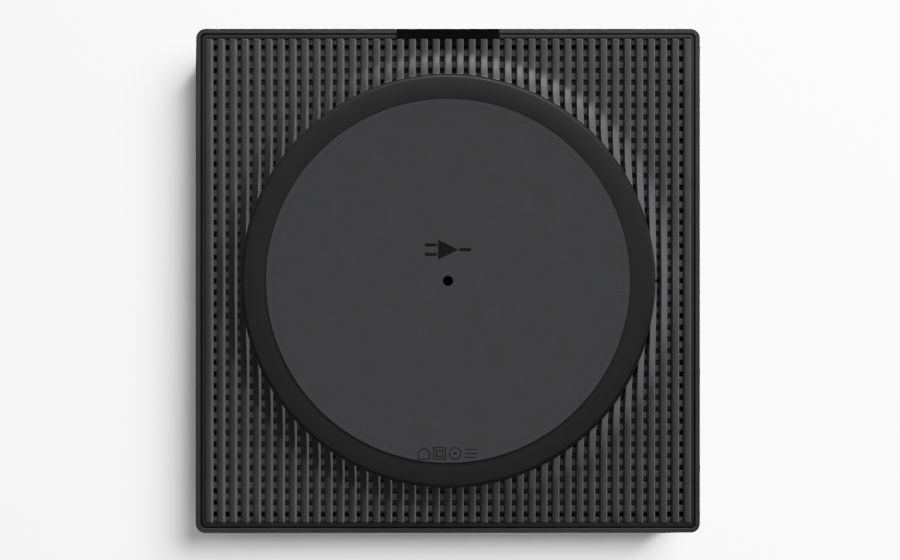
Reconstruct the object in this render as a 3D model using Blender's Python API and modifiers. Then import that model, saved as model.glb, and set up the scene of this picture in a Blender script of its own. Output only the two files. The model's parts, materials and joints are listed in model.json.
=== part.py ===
"""Compact square streaming amplifier, built as the assembly that comes apart on a bench.

Frame: +Z up, origin on the surface that the foot stands on, under the centre of the case.
The touch window faces -Y and the sockets face +Y. All lengths are in metres.
"""

import math

import bmesh
import bpy
from mathutils import Matrix

# Clearances
GAP = 0.0003
OVERLAP = 0.0005          # how far joined shapes reach into each other
THROUGH = 0.002           # how far a cutter runs past the face it cuts

# Case
SIDE = 0.217
HEIGHT = 0.064
RIM_Z = 0.012             # lower edge of the side walls
WALL = 0.0022
CORNER_RADIUS = 0.0042
TOP_EDGE_RADIUS = 0.0025
DISH_RADIUS = 0.0885      # stacking dish in the top
DISH_DEPTH = 0.0030
POST_RADIUS = 0.0035
SCREW_PLACES = [(x, y) for x in (-0.060, 0.060) for y in (-0.050, 0.050)]

# Bottom grille: ribs that run front to back
GROOVE = 0.0004           # parting line between the cover and the grille's ledge
LEDGE_WIDTH = 0.0018
LEDGE_Z = 0.0124
RIB_COUNT = 41
RIB_PITCH = 0.005147
RIB_WIDTH = 0.0027
RIB_TOP_Z = 0.0173
HUB_TOP_Z = 0.0175        # top of the ledge and the hub
FLARE_OUTER = 0.0993      # the ribs curve down from here to the neck
NECK_RADIUS = 0.0883
NECK_Z = 0.0043
FLARE_STEPS = 3
HUB_INNER = 0.0835
HUB_PLATE_Z = 0.0135

# Vent screen: cross-bars behind the ribs
BAR_COUNT = 40
BAR_PITCH = 0.00505
BAR_WIDTH = 0.0029
SCREEN_Z = (0.0178, 0.0220)
SCREEN_HUB_INNER = 0.0820

# Foot
FOOT_RADIUS = 0.0875
FOOT_FLAT_RADIUS = 0.0866
FOOT_Z = (0.0006, 0.0040)
PAD_RADIUS = 0.0770
PAD_THICKNESS = 0.0020
PAD_HOLE_RADIUS = 0.0021
FOOT_BOSS_RADIUS = 0.009

# Screws
FOOT_SCREW = {"head": 0.0035, "shank": 0.0019}
CASE_SCREW = {"head": 0.0030, "shank": 0.0014}

# Chassis and boards
CHASSIS_SIDE = 0.202      # a floor behind the whole rib field
CHASSIS_Z = (0.0223, 0.0238)
BOARD_Z = (0.0300, 0.0316)
ON_BOARD = BOARD_Z[1] + GAP
POWER_BOARD_X = (-0.098, -0.050)
MAIN_BOARD_X = (-0.046, 0.098)
BOARD_Y = (-0.088, 0.093)

# Rear panel: a tub set into the cover's rear window
TUB_HALF_WIDTH = 0.091
TUB_Z = (0.025, 0.055)
TUB_WALL = 0.0018
PANEL_Y = (0.0943, 0.0963)
TUB_REAR_Y = 0.1083
SOCKET_FACE_Y = PANEL_Y[1] + 0.0002

# Sockets, placed by their centres on the panel
INLET_AT = (-0.076, 0.0400)
SPEAKER_AT = {"right": (-0.031, 0.0389), "left": (-0.002, 0.0389)}
LINE_IN_AT = {"right": (0.020, 0.0371), "left": (0.020, 0.0477)}
SUB_OUT_AT = (0.033, 0.0371)
BUTTON_AT = (0.033, 0.0482)
HDMI_AT = (0.047, 0.0348)
NETWORK_X = {"a": 0.0645, "b": 0.0806}

# Mains inlet: its block, its well and its pins
INLET_SIZE = (0.022, 0.0162)
INLET_INNER_Y = 0.0790
INLET_DEPTH = 0.0120
INLET_WELL = (0.0150, 0.0086, 0.0042)
PIN_SPACING = 0.0086
PIN_RADIUS = 0.0012
PIN_LENGTH = 0.0095
PIN_INNER_Y = 0.0760

# Other sockets: sizes across the panel, and how far they reach inwards
HDMI_SIZE = (0.0152, 0.0058)
SPEAKER_SIZE = (0.026, 0.014)
NETWORK_SIZE = (0.0154, 0.0134)
NETWORK_Z = ON_BOARD + NETWORK_SIZE[1] / 2
RCA_SLEEVE = 0.00415
BUTTON_RADIUS = 0.0026
RCA_HOUSING_Y = 0.0830
RCA_HALF = 0.0051
RCA_TIP_Y = 0.1045
RCA_BORE = 0.0016
BUTTON_Y = (0.0880, 0.0978)
BUTTON_FLANGE = (0.0038, 0.0015)
NETWORK_INNER_Y = 0.0785
NETWORK_DEPTH = 0.0125
NETWORK_CAVITY = (0.0059, -0.0036, 0.0046)
NETWORK_LATCH = (0.0031, -0.0052, -0.0030)
HDMI_INNER_Y = 0.0830
HDMI_DEPTH = 0.0090
HDMI_CAVITY = (0.0070, 0.0023)
HDMI_TONGUE = (0.0055, 0.0002, 0.0013)

# Speaker plugs: the pull-off blocks, their posts and the turning caps
POLE_OFFSET = 0.0067      # from a speaker plug's centre to each pole
POLE_RISE = 0.0012
BLADE_DROP = 0.0042
PLUG_Y = (0.0967, 0.1033)
POST_REAR_Y = 0.1076
PLUG_POST_RADIUS = 0.0032
BANANA_RADIUS = 0.0020
CAP_RADIUS = 0.0054
CAP_Y = (0.1036, 0.1079)

# Touch window
TOUCH_WIDTH = 0.0436
TOUCH_TOP_Z = 0.030
TOUCH_LIP_Y = -0.1044
CARRIER_Y = -0.1017

# Finishes: sRGB colour, roughness, metallic
FINISHES = {
    "case_plastic": ("404041", 0.55, 0.0),
    "grille_plastic": ("454546", 0.50, 0.0),
    "screen_plastic": ("333334", 0.60, 0.0),
    "foot_plastic": ("2A2A2B", 0.55, 0.0),
    "rubber": ("3D3D3E", 0.75, 0.0),
    "gloss_black": ("060607", 0.08, 0.0),
    "black_plastic": ("141415", 0.45, 0.0),
    "white_plastic": ("D8D8D4", 0.45, 0.0),
    "black_steel": ("2B2B2D", 0.40, 1.0),
    "plain_steel": ("A9ABAD", 0.35, 1.0),
    "aluminium": ("B4B6B8", 0.40, 1.0),
    "board": ("16351F", 0.45, 0.0),
    "capacitor_sleeve": ("1B2230", 0.40, 0.0),
    "copper_wire": ("8A4A2A", 0.35, 1.0),
    "ferrite": ("2E2D2C", 0.65, 0.0),
    "ceramic_white": ("D9D6CE", 0.40, 0.0),
    "thermal_grey": ("8C8F93", 0.80, 0.0),
    "clear_acrylic": ("D9DEE2", 0.10, 0.0),
    "terminal_red": ("8E1F1C", 0.45, 0.0),
    "flex_film": ("8A5A1E", 0.40, 0.0),
    "cable_black": ("121213", 0.50, 0.0),
}


def linear(hex_colour):
    """Turn an sRGB hex colour into the linear values that a shader takes."""
    channels = [int(hex_colour[i:i + 2], 16) / 255 for i in (0, 2, 4)]
    return [c / 12.92 if c <= 0.04045 else ((c + 0.055) / 1.055) ** 2.4 for c in channels] + [1.0]


def clear_scene():
    for obj in list(bpy.data.objects):
        bpy.data.objects.remove(obj, do_unlink=True)


def new_collection(name):
    collection = bpy.data.collections.new(name)
    bpy.context.scene.collection.children.link(collection)
    return collection


clear_scene()
PARTS = new_collection("integrated_amplifier")
CUTTERS = new_collection("cutters")

UPRIGHT = (0, 0, 0)
PLATE_BACK = (math.pi / 2, 0, 0)      # a flat outline drawn in X and Z
TURN_BACK = (-math.pi / 2, 0, 0)      # a turned shape whose axis points to +Y


def give_material(obj, finish):
    colour, roughness, metallic = FINISHES[finish]
    material = bpy.data.materials.new(obj.name + "_" + finish)
    material.use_nodes = True
    shader = material.node_tree.nodes["Principled BSDF"]
    shader.inputs["Base Color"].default_value = linear(colour)
    shader.inputs["Roughness"].default_value = roughness
    shader.inputs["Metallic"].default_value = metallic
    obj.data.materials.append(material)


def place(name, mesh, centre, finish, turn=UPRIGHT):
    """Put a mesh in the scene: a part if it has a finish, a cutter or a joined shape if not."""
    obj = bpy.data.objects.new(name, mesh)
    obj.location = centre
    obj.rotation_euler = turn
    if finish is None:
        CUTTERS.objects.link(obj)
        obj.hide_render = True
        obj.display_type = "WIRE"
        return obj
    PARTS.objects.link(obj)
    give_material(obj, finish)
    return obj


def mesh_from(bm, name, smooth=False):
    mesh = bpy.data.meshes.new(name)
    bm.to_mesh(mesh)
    bm.free()
    if smooth:
        mesh.shade_smooth()
        mesh.set_sharp_from_angle(angle=math.radians(35))
    return mesh


def box(name, low, high, finish=None):
    """A box between two corners, with its origin at its centre."""
    size = [b - a for a, b in zip(low, high)]
    centre = [(a + b) / 2 for a, b in zip(low, high)]
    bm = bmesh.new()
    bmesh.ops.create_cube(bm, size=1.0, matrix=Matrix.Diagonal((*size, 1.0)))
    return place(name, mesh_from(bm, name), centre, finish)


def cylinder(name, radius, low, length, finish=None, turn=UPRIGHT, segments=24):
    """A cylinder that starts at the point low and runs along its own axis."""
    bm = bmesh.new()
    lift = Matrix.Translation((0, 0, length / 2))
    bmesh.ops.create_cone(bm, cap_ends=True, segments=segments, radius1=radius, radius2=radius,
                          depth=length, matrix=lift)
    return place(name, mesh_from(bm, name, smooth=True), low, finish, turn)


def turned(name, profile, centre, finish=None, turn=UPRIGHT, steps=32, ring=False):
    """A turned shape. The profile runs down the outer side; a ring's profile closes on itself."""
    edges = [(i, i + 1) for i in range(len(profile) - 1)]
    if ring:
        edges.append((len(profile) - 1, 0))
    mesh = bpy.data.meshes.new(name)
    mesh.from_pydata([(r, 0, z) for r, z in profile], edges, [])
    obj = place(name, mesh, centre, finish, turn)
    screw = obj.modifiers.new("turn", "SCREW")
    screw.axis = "Z"
    screw.angle = 2 * math.pi
    screw.steps = steps
    screw.render_steps = steps
    screw.use_merge_vertices = True
    screw.merge_threshold = 0.00001
    screw.use_smooth_shade = True
    return obj


def rounded_outline(width, depth, radius, arc_steps=4):
    """The corners of a rounded rectangle about the origin, anticlockwise."""
    points = []
    for quarter, (sx, sy) in enumerate([(1, 1), (-1, 1), (-1, -1), (1, -1)]):
        cx = sx * (width / 2 - radius)
        cy = sy * (depth / 2 - radius)
        for step in range(arc_steps + 1):
            angle = (quarter + step / arc_steps) * math.pi / 2
            points.append((cx + radius * math.cos(angle), cy + radius * math.sin(angle)))
    return points


def slab(name, outline, centre, thickness, finish=None, turn=UPRIGHT):
    """A flat outline of even thickness, made as a filled curve and kept as a mesh."""
    curve = bpy.data.curves.new(name, "CURVE")
    curve.dimensions = "2D"
    curve.fill_mode = "BOTH"
    curve.extrude = thickness / 2
    spline = curve.splines.new("POLY")
    spline.points.add(len(outline) - 1)
    for point, (x, y) in zip(spline.points, outline):
        point.co = (x, y, 0, 1)
    spline.use_cyclic_u = True
    source = bpy.data.objects.new(name, curve)
    CUTTERS.objects.link(source)
    mesh = curve_mesh(source, name)
    return place(name, mesh, centre, finish, turn)


def curve_mesh(source, name):
    """Turn a curve object into a welded mesh and remove the curve."""
    depsgraph = bpy.context.evaluated_depsgraph_get()
    mesh = bpy.data.meshes.new_from_object(source.evaluated_get(depsgraph))
    curve = source.data
    bpy.data.objects.remove(source, do_unlink=True)
    bpy.data.curves.remove(curve)
    mesh.name = name
    bm = bmesh.new()
    bm.from_mesh(mesh)
    bmesh.ops.remove_doubles(bm, verts=bm.verts, dist=0.000001)
    bmesh.ops.recalc_face_normals(bm, faces=bm.faces)
    bm.to_mesh(mesh)
    bm.free()
    mesh.materials.clear()
    mesh.shade_smooth()
    mesh.set_sharp_from_angle(angle=math.radians(35))
    return mesh


def bar_row(name, count, pitch, size, z_mid, across):
    """A row of separate straight bars, spaced along the axis number given by across."""
    bm = bmesh.new()
    for i in range(count):
        middle = [0.0, 0.0, z_mid]
        middle[across] = (i - (count - 1) / 2) * pitch
        matrix = Matrix.Translation(middle) @ Matrix.Diagonal((*size, 1.0))
        bmesh.ops.create_cube(bm, size=1.0, matrix=matrix)
    return mesh_from(bm, name)


def combine(obj, other, operation):
    modifier = obj.modifiers.new(operation.lower() + "_" + other.name, "BOOLEAN")
    modifier.operation = operation
    modifier.solver = "EXACT"
    modifier.object = other


def cut(obj, *others):
    for other in others:
        combine(obj, other, "DIFFERENCE")


def join(obj, *others):
    for other in others:
        combine(obj, other, "UNION")


def merge_flats(obj):
    """Dissolve the lines that the Booleans leave across flat faces."""
    modifier = obj.modifiers.new("merge_flats", "DECIMATE")
    modifier.decimate_type = "DISSOLVE"
    modifier.angle_limit = math.radians(0.2)


def bevel(obj, width, segments=1):
    modifier = obj.modifiers.new("edges", "BEVEL")
    modifier.width = width
    modifier.segments = segments
    modifier.limit_method = "ANGLE"
    modifier.angle_limit = math.radians(40)


def bevel_where(obj, width, segments, pick):
    """Round only the edges whose two ends both satisfy pick."""
    mesh = obj.data
    weights = mesh.attributes.new("bevel_weight_edge", "FLOAT", "EDGE")
    for edge in mesh.edges:
        ends = [mesh.vertices[v].co for v in edge.vertices]
        weights.data[edge.index].value = 1.0 if all(pick(co) for co in ends) else 0.0
    modifier = obj.modifiers.new("edges", "BEVEL")
    modifier.width = width
    modifier.segments = segments
    modifier.limit_method = "WEIGHT"


# Case ----------------------------------------------------------------------------------------


def dish_bowl():
    """The thickened disc that becomes the dish's floor and wall."""
    floor_z = HEIGHT - DISH_DEPTH - WALL
    return cylinder("dish_bowl", DISH_RADIUS + WALL, (0, 0, floor_z), DISH_DEPTH + OVERLAP, segments=48)


def dish_recess():
    low = HEIGHT - DISH_DEPTH
    return cylinder("dish_recess", DISH_RADIUS, (0, 0, low), DISH_DEPTH + THROUGH, segments=48)


def top_cover():
    """The shell of the case: four walls and the dished top, open below and at the rear."""
    mid = (RIM_Z + HEIGHT) / 2
    tall = HEIGHT - RIM_Z
    cover = slab("top_cover", rounded_outline(SIDE, SIDE, CORNER_RADIUS), (0, 0, mid), tall, "case_plastic")
    bevel_where(cover, TOP_EDGE_RADIUS, 3, lambda co: co.z > tall / 2 - OVERLAP)
    inner = SIDE - 2 * WALL
    cavity_outline = rounded_outline(inner, inner, CORNER_RADIUS - WALL)
    cavity_mid = (RIM_Z - THROUGH + HEIGHT - WALL) / 2
    cut(cover, slab("cover_cavity", cavity_outline, (0, 0, cavity_mid), tall - WALL + THROUGH))
    join(cover, dish_bowl())
    cut(cover, dish_recess())
    post_low = CHASSIS_Z[1] + GAP
    post_tall = HEIGHT - DISH_DEPTH - WALL + OVERLAP - post_low
    for i, (x, y) in enumerate(SCREW_PLACES):
        join(cover, cylinder(f"cover_post_{i}", POST_RADIUS, (x, y, post_low), post_tall, segments=12))
        bore = CASE_SCREW["shank"] + GAP
        cut(cover, cylinder(f"post_bore_{i}", bore, (x, y, post_low - THROUGH), 0.014, segments=8))
    half = TUB_HALF_WIDTH + GAP
    low = (-half, SIDE / 2 - 2 * WALL, TUB_Z[0] - GAP)
    high = (half, SIDE / 2 + THROUGH, TUB_Z[1] + GAP)
    cut(cover, box("rear_window", low, high))
    half = TOUCH_WIDTH / 2 + GAP
    low = (-half, -SIDE / 2 - THROUGH, RIM_Z - THROUGH)
    high = (half, -SIDE / 2 + 2 * WALL, TOUCH_TOP_Z + GAP)
    cut(cover, box("touch_notch", low, high))
    merge_flats(cover)


def flare_profile():
    """Outline of the space that the ribs may fill: flat outside, curving down to the neck."""
    reach = FLARE_OUTER - NECK_RADIUS + OVERLAP
    drop = RIM_Z - NECK_Z - OVERLAP
    curve = []
    for step in range(FLARE_STEPS + 1):
        share = step / FLARE_STEPS
        curve.append((FLARE_OUTER - reach * share, RIM_Z - drop * share ** 2))
    outside = SIDE
    inner = HUB_INNER + OVERLAP
    return [(inner, RIB_TOP_Z), (outside, RIB_TOP_Z), (outside, RIM_Z)] + curve + [(inner, NECK_Z + 2 * OVERLAP)]


def grille_ledge():
    """The frame around the rib field, a parting groove inside the cover's walls."""
    outer = SIDE - 2 * (WALL + GROOVE)
    mid = (LEDGE_Z + HUB_TOP_Z) / 2
    tall = HUB_TOP_Z - LEDGE_Z
    frame = slab("grille_ledge", rounded_outline(outer, outer, CORNER_RADIUS - WALL), (0, 0, mid), tall)
    inner = outer - 2 * LEDGE_WIDTH
    cut(frame, slab("ledge_inside", rounded_outline(inner, inner, 0.001, 1), (0, 0, mid), tall + THROUGH))
    return frame


def grille_hub():
    """The neck and the plate over the foot, with a boss for each case screw."""
    centre_bore = FOOT_SCREW["shank"] + GAP
    profile = [
        (centre_bore, HUB_TOP_Z),
        (NECK_RADIUS, HUB_TOP_Z),
        (NECK_RADIUS, NECK_Z),
        (HUB_INNER, NECK_Z),
        (HUB_INNER, HUB_PLATE_Z),
        (centre_bore, HUB_PLATE_Z),
    ]
    hub = turned("grille_hub", profile, (0, 0, 0), steps=40, ring=True)
    for i, (x, y) in enumerate(SCREW_PLACES):
        boss_low = HUB_TOP_Z - OVERLAP
        join(hub, cylinder(f"hub_boss_{i}", POST_RADIUS, (x, y, boss_low), SCREEN_Z[1] - boss_low, segments=12))
        bore = CASE_SCREW["shank"] + GAP
        cut(hub, cylinder(f"hub_bore_{i}", bore, (x, y, HUB_PLATE_Z - THROUGH), 0.014, segments=8))
    return hub


def bottom_grille():
    """The underside moulding: ribs from front to back, trimmed by the flare and tied to ledge and hub."""
    length = SIDE - 2 * (WALL + GROOVE + LEDGE_WIDTH) + 2 * OVERLAP
    size = (RIB_WIDTH, length, RIB_TOP_Z - NECK_Z + THROUGH)
    mesh = bar_row("bottom_grille", RIB_COUNT, RIB_PITCH, size, (RIB_TOP_Z + NECK_Z) / 2, across=0)
    grille = place("bottom_grille", mesh, (0, 0, 0), "grille_plastic")
    space = turned("rib_space", flare_profile(), (0, 0, 0), steps=36, ring=True)
    combine(grille, space, "INTERSECT")
    join(grille, grille_ledge(), grille_hub())
    half = TOUCH_WIDTH / 2 + GAP
    low = (-half, -SIDE / 2, RIM_Z - THROUGH)
    high = (half, TOUCH_LIP_Y + 2 * GAP, LEDGE_Z + 0.0030)
    cut(grille, box("ledge_notch", low, high))
    merge_flats(grille)


def vent_screen():
    """The cross-bars behind the ribs, tied to a frame at the edge and a ring over the foot."""
    z_mid = sum(SCREEN_Z) / 2
    tall = SCREEN_Z[1] - SCREEN_Z[0]
    field = BAR_COUNT * BAR_PITCH + (BAR_PITCH - BAR_WIDTH)
    size = (field + 2 * OVERLAP, BAR_WIDTH, tall - GAP)
    mesh = bar_row("vent_screen", BAR_COUNT, BAR_PITCH, size, z_mid, across=1)
    screen = place("vent_screen", mesh, (0, 0, 0), "screen_plastic")
    low = (0, 0, SCREEN_Z[0] - THROUGH)
    inside_ring = SCREEN_HUB_INNER + 2 * THROUGH
    cut(screen, cylinder("screen_centre", inside_ring, low, tall + 2 * THROUGH, segments=24))
    outer = SIDE - 2 * (WALL + GROOVE)
    outline = rounded_outline(outer, outer, CORNER_RADIUS - WALL)
    frame = slab("screen_frame", outline, (0, 0, z_mid), tall)
    opening = (field / 2, field / 2, z_mid + tall)
    cut(frame, box("screen_field", (-field / 2, -field / 2, z_mid - tall), opening))
    top, bottom = SCREEN_Z[1], SCREEN_Z[0]
    profile = [
        (SCREEN_HUB_INNER, top),
        (NECK_RADIUS, top),
        (NECK_RADIUS, bottom),
        (SCREEN_HUB_INNER, bottom),
    ]
    ring = turned("screen_ring", profile, (0, 0, 0), steps=32, ring=True)
    join(screen, frame, ring)
    half = TOUCH_WIDTH / 2 + GAP
    low = (-half, -SIDE / 2, SCREEN_Z[0] - THROUGH)
    cut(screen, box("carrier_notch", low, (half, CARRIER_Y + GAP, SCREEN_Z[1] + THROUGH)))
    merge_flats(screen)


def chassis_plate():
    """The steel plate that ties grille, boards and cover together."""
    z_mid = sum(CHASSIS_Z) / 2
    outline = rounded_outline(CHASSIS_SIDE, CHASSIS_SIDE, 0.012, 3)
    plate = slab("chassis_plate", outline, (0, 0, z_mid), CHASSIS_Z[1] - CHASSIS_Z[0], "plain_steel")
    low = CHASSIS_Z[1] - OVERLAP
    for i, (x, y) in enumerate((x, y) for x in (-0.074, -0.056, -0.040, 0.074) for y in (-0.072, 0.072)):
        standoff = cylinder(f"standoff_{i}", 0.0025, (x, y, low), BOARD_Z[0] - GAP - low, segments=8)
        join(plate, standoff)
    boss_low = HUB_TOP_Z + 2 * GAP
    join(plate, cylinder("chassis_boss", 0.005, (0, 0, boss_low), CHASSIS_Z[0] + OVERLAP - boss_low, segments=16))
    bore = FOOT_SCREW["shank"] + GAP
    cut(plate, cylinder("chassis_bore", bore, (0, 0, boss_low - THROUGH), 0.012, segments=16))
    for i, (x, y) in enumerate(SCREW_PLACES):
        bore = CASE_SCREW["shank"] + GAP
        cut(plate, cylinder(f"chassis_hole_{i}", bore, (x, y, CHASSIS_Z[0] - THROUGH), 0.006, segments=8))


def case_screws():
    """Four screws under the foot that hold hub, chassis and cover together."""
    head_low = HUB_PLATE_Z - GAP - 0.0022
    shank_top = CHASSIS_Z[1] + 0.010
    head = CASE_SCREW["head"]
    shank = CASE_SCREW["shank"]
    seat = HUB_PLATE_Z - GAP
    profile = [(0, shank_top), (shank, shank_top), (shank, seat), (head, seat), (head, head_low), (0, head_low)]
    for i, (x, y) in enumerate(SCREW_PLACES):
        turned(f"case_screw_{i + 1}", profile, (x, y, 0), "black_steel", steps=12)


# Foot ----------------------------------------------------------------------------------------


def foot_base():
    """The round foot: a rim that is chamfered below, a recess for the pad and a boss for the screw."""
    low, high = FOOT_Z
    recess = PAD_THICKNESS + GAP
    chamfer = FOOT_RADIUS - FOOT_FLAT_RADIUS
    bore = FOOT_SCREW["shank"] + GAP
    counterbore = FOOT_SCREW["head"] + GAP
    seat = 0.0050
    boss_top = HUB_PLATE_Z - GAP
    profile = [
        (bore, boss_top),
        (FOOT_BOSS_RADIUS, boss_top),
        (FOOT_BOSS_RADIUS, high),
        (FOOT_RADIUS, high),
        (FOOT_RADIUS, low + chamfer),
        (FOOT_FLAT_RADIUS, low),
        (PAD_RADIUS + GAP, low),
        (PAD_RADIUS + GAP, recess),
        (counterbore, recess),
        (counterbore, seat),
        (bore, seat),
    ]
    turned("foot_base", profile, (0, 0, 0), "foot_plastic", steps=48, ring=True)


def foot_pad():
    profile = [
        (PAD_HOLE_RADIUS, PAD_THICKNESS),
        (PAD_RADIUS, PAD_THICKNESS),
        (PAD_RADIUS, 0.0),
        (PAD_HOLE_RADIUS, 0.0),
    ]
    turned("foot_pad", profile, (0, 0, 0), "rubber", steps=48, ring=True)


def foot_screw():
    head = FOOT_SCREW["head"]
    shank = FOOT_SCREW["shank"]
    head_low = 0.0026
    seat = 0.0047
    tip = 0.0235
    profile = [(0, tip), (shank, tip), (shank, seat), (head, seat), (head, head_low), (0, head_low)]
    turned("foot_screw", profile, (0, 0, 0), "black_steel", steps=16)


# Touch window --------------------------------------------------------------------------------


def touch_window():
    """The gloss front window, with a lip that turns under the rim."""
    half = TOUCH_WIDTH / 2
    inside = -SIDE / 2 + WALL
    window = box("touch_window", (-half, -SIDE / 2, RIM_Z), (half, inside, TOUCH_TOP_Z), "gloss_black")
    join(window, box("window_lip", (-half, inside - OVERLAP, RIM_Z), (half, TOUCH_LIP_Y, RIM_Z + 0.0016)))


def touch_carrier():
    """Black holder behind the window, seen between the ends of the ribs."""
    half = TOUCH_WIDTH / 2
    front = -SIDE / 2 + WALL + GAP
    low = SCREEN_Z[0]
    flange = box("touch_carrier", (-half, front, low), (half, CARRIER_Y, low + 0.0018), "black_plastic")
    join(flange, box("carrier_wall", (-half, front, low), (half, front + 0.0028, TOUCH_TOP_Z + 0.003)))
    hole = cylinder("guide_hole", 0.0015, (0, front - THROUGH, 0.0245), 0.008, turn=TURN_BACK, segments=12)
    cut(flange, hole)


def touch_electronics():
    front = -SIDE / 2 + WALL + GAP
    board_y = front + 0.0028 + GAP
    box("touch_board", (-0.018, board_y, 0.0202), (0.018, board_y + 0.0008, TOUCH_TOP_Z), "board")
    cylinder("status_light_guide", 0.0012, (0, front, 0.0245), 0.0028, "clear_acrylic", TURN_BACK, 12)
    flex_y = board_y + 0.0008 + GAP
    flex = box("touch_flex", (-0.005, flex_y, 0.0215), (0.005, flex_y + GAP, 0.0288), "flex_film")
    join(flex, box("flex_run", (-0.005, flex_y, 0.0285), (0.005, -0.080, 0.0288)))


# Rear panel and sockets ----------------------------------------------------------------------


def rear_panel():
    """A tub that stands back from the rear wall, with a cut-out for each socket."""
    half = TUB_HALF_WIDTH
    tub = box("rear_panel", (-half, PANEL_Y[0], TUB_Z[0]), (half, TUB_REAR_Y, TUB_Z[1]), "case_plastic")
    low = (-half + TUB_WALL, PANEL_Y[1], TUB_Z[0] + TUB_WALL)
    cut(tub, box("tub_inside", low, (half - TUB_WALL, TUB_REAR_Y + THROUGH, TUB_Z[1] - TUB_WALL)))
    for name, (x, z), (width, tall) in panel_windows():
        low = (x - width / 2 - GAP, PANEL_Y[0] - THROUGH, z - tall / 2 - GAP)
        high = (x + width / 2 + GAP, PANEL_Y[1] + OVERLAP, z + tall / 2 + GAP)
        cut(tub, box("window_" + name, low, high))
    for name, (x, z), radius in panel_holes():
        low = (x, PANEL_Y[0] - THROUGH, z)
        cut(tub, cylinder("hole_" + name, radius + GAP, low, 0.006, turn=TURN_BACK, segments=24))


def panel_windows():
    windows = [("inlet", INLET_AT, INLET_SIZE), ("hdmi", HDMI_AT, HDMI_SIZE)]
    windows += [("speaker_" + side, at, SPEAKER_SIZE) for side, at in SPEAKER_AT.items()]
    windows += [("network_" + key, (x, NETWORK_Z), NETWORK_SIZE) for key, x in NETWORK_X.items()]
    return windows


def panel_holes():
    holes = [("sub", SUB_OUT_AT, RCA_SLEEVE), ("button", BUTTON_AT, BUTTON_RADIUS)]
    holes += [("line_" + side, at, RCA_SLEEVE) for side, at in LINE_IN_AT.items()]
    return holes


def socket_block(name, at, size, inner_y, finish):
    """A socket body that fills its panel window and ends just proud of the panel."""
    (x, z), (width, tall) = at, size
    low = (x - width / 2, inner_y, z - tall / 2)
    return box(name, low, (x + width / 2, SOCKET_FACE_Y, z + tall / 2), finish)


def power_inlet():
    """Figure-of-eight inlet with its two pins."""
    x, z = INLET_AT
    inlet = socket_block("power_inlet", INLET_AT, INLET_SIZE, INLET_INNER_Y, "black_plastic")
    outline = rounded_outline(*INLET_WELL)
    middle = (x, SOCKET_FACE_Y - INLET_DEPTH / 2 + THROUGH / 2, z)
    cut(inlet, slab("inlet_cavity", outline, middle, INLET_DEPTH + THROUGH, turn=PLATE_BACK))
    for name, side in (("left", -1), ("right", 1)):
        pin_x = x + side * PIN_SPACING / 2
        floor = SOCKET_FACE_Y - INLET_DEPTH
        bore_low = (pin_x, INLET_INNER_Y - THROUGH, z)
        bore_length = floor - INLET_INNER_Y + 2 * THROUGH
        bore = cylinder("pin_bore_" + name, PIN_RADIUS + GAP, bore_low, bore_length, turn=TURN_BACK, segments=12)
        cut(inlet, bore)
        pin_low = (pin_x, PIN_INNER_Y, z)
        length = floor + PIN_LENGTH - PIN_INNER_Y
        cylinder("inlet_pin_" + name, PIN_RADIUS, pin_low, length, "plain_steel", TURN_BACK, 12)


def network_jacks():
    for key, x in NETWORK_X.items():
        jack = socket_block("network_jack_" + key, (x, NETWORK_Z), NETWORK_SIZE, NETWORK_INNER_Y, "plain_steel")
        for shape, (half, below, above) in (("cavity", NETWORK_CAVITY), ("latch", NETWORK_LATCH)):
            low = (x - half, SOCKET_FACE_Y - NETWORK_DEPTH, NETWORK_Z + below)
            high = (x + half, SOCKET_FACE_Y + THROUGH, NETWORK_Z + above)
            cut(jack, box(f"jack_{shape}_{key}", low, high))


def hdmi_socket():
    x, z = HDMI_AT
    socket = socket_block("hdmi_socket", HDMI_AT, HDMI_SIZE, HDMI_INNER_Y, "plain_steel")
    half, tall = HDMI_CAVITY
    low = (x - half, SOCKET_FACE_Y - HDMI_DEPTH, z - tall)
    cut(socket, box("hdmi_cavity", low, (x + half, SOCKET_FACE_Y + THROUGH, z + tall)))
    half, below, above = HDMI_TONGUE
    low = (x - half, SOCKET_FACE_Y - HDMI_DEPTH - OVERLAP, z + below)
    join(socket, box("hdmi_tongue", low, (x + half, SOCKET_FACE_Y - 4 * GAP, z + above)))


def rca_jack(name, at, finish):
    """Phono jack: a housing on the board, a plated sleeve through the panel and a centre hole."""
    x, z = at
    housing_rear = PANEL_Y[0] - GAP
    low = (x - RCA_HALF, RCA_HOUSING_Y, z - RCA_HALF)
    jack = box(name, low, (x + RCA_HALF, housing_rear, z + RCA_HALF), finish)
    sleeve_low = (x, housing_rear - OVERLAP, z)
    join(jack, cylinder(name + "_sleeve", RCA_SLEEVE, sleeve_low, RCA_TIP_Y - sleeve_low[1], turn=TURN_BACK))
    hole_low = (x, housing_rear - 2 * THROUGH, z)
    length = RCA_TIP_Y + THROUGH - hole_low[1]
    cut(jack, cylinder(name + "_hole", RCA_BORE, hole_low, length, turn=TURN_BACK, segments=8))


def rca_jacks():
    rca_jack("line_in_left", LINE_IN_AT["left"], "white_plastic")
    rca_jack("line_in_right", LINE_IN_AT["right"], "terminal_red")
    rca_jack("sub_out", SUB_OUT_AT, "black_plastic")


def speaker_socket(side):
    """Fixed half of a speaker connection: a block with two blades."""
    x, z = SPEAKER_AT[side]
    socket = socket_block("speaker_socket_" + side, (x, z), SPEAKER_SIZE, 0.0760, "black_plastic")
    for pole, sign in (("minus", -1), ("plus", 1)):
        blade_x = x + sign * POLE_OFFSET
        low = (blade_x - 0.0015, SOCKET_FACE_Y - OVERLAP, z - BLADE_DROP - 0.0006)
        high = (blade_x + 0.0015, 0.1015, z - BLADE_DROP + 0.0006)
        join(socket, box(f"blade_{side}_{pole}", low, high))


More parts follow.
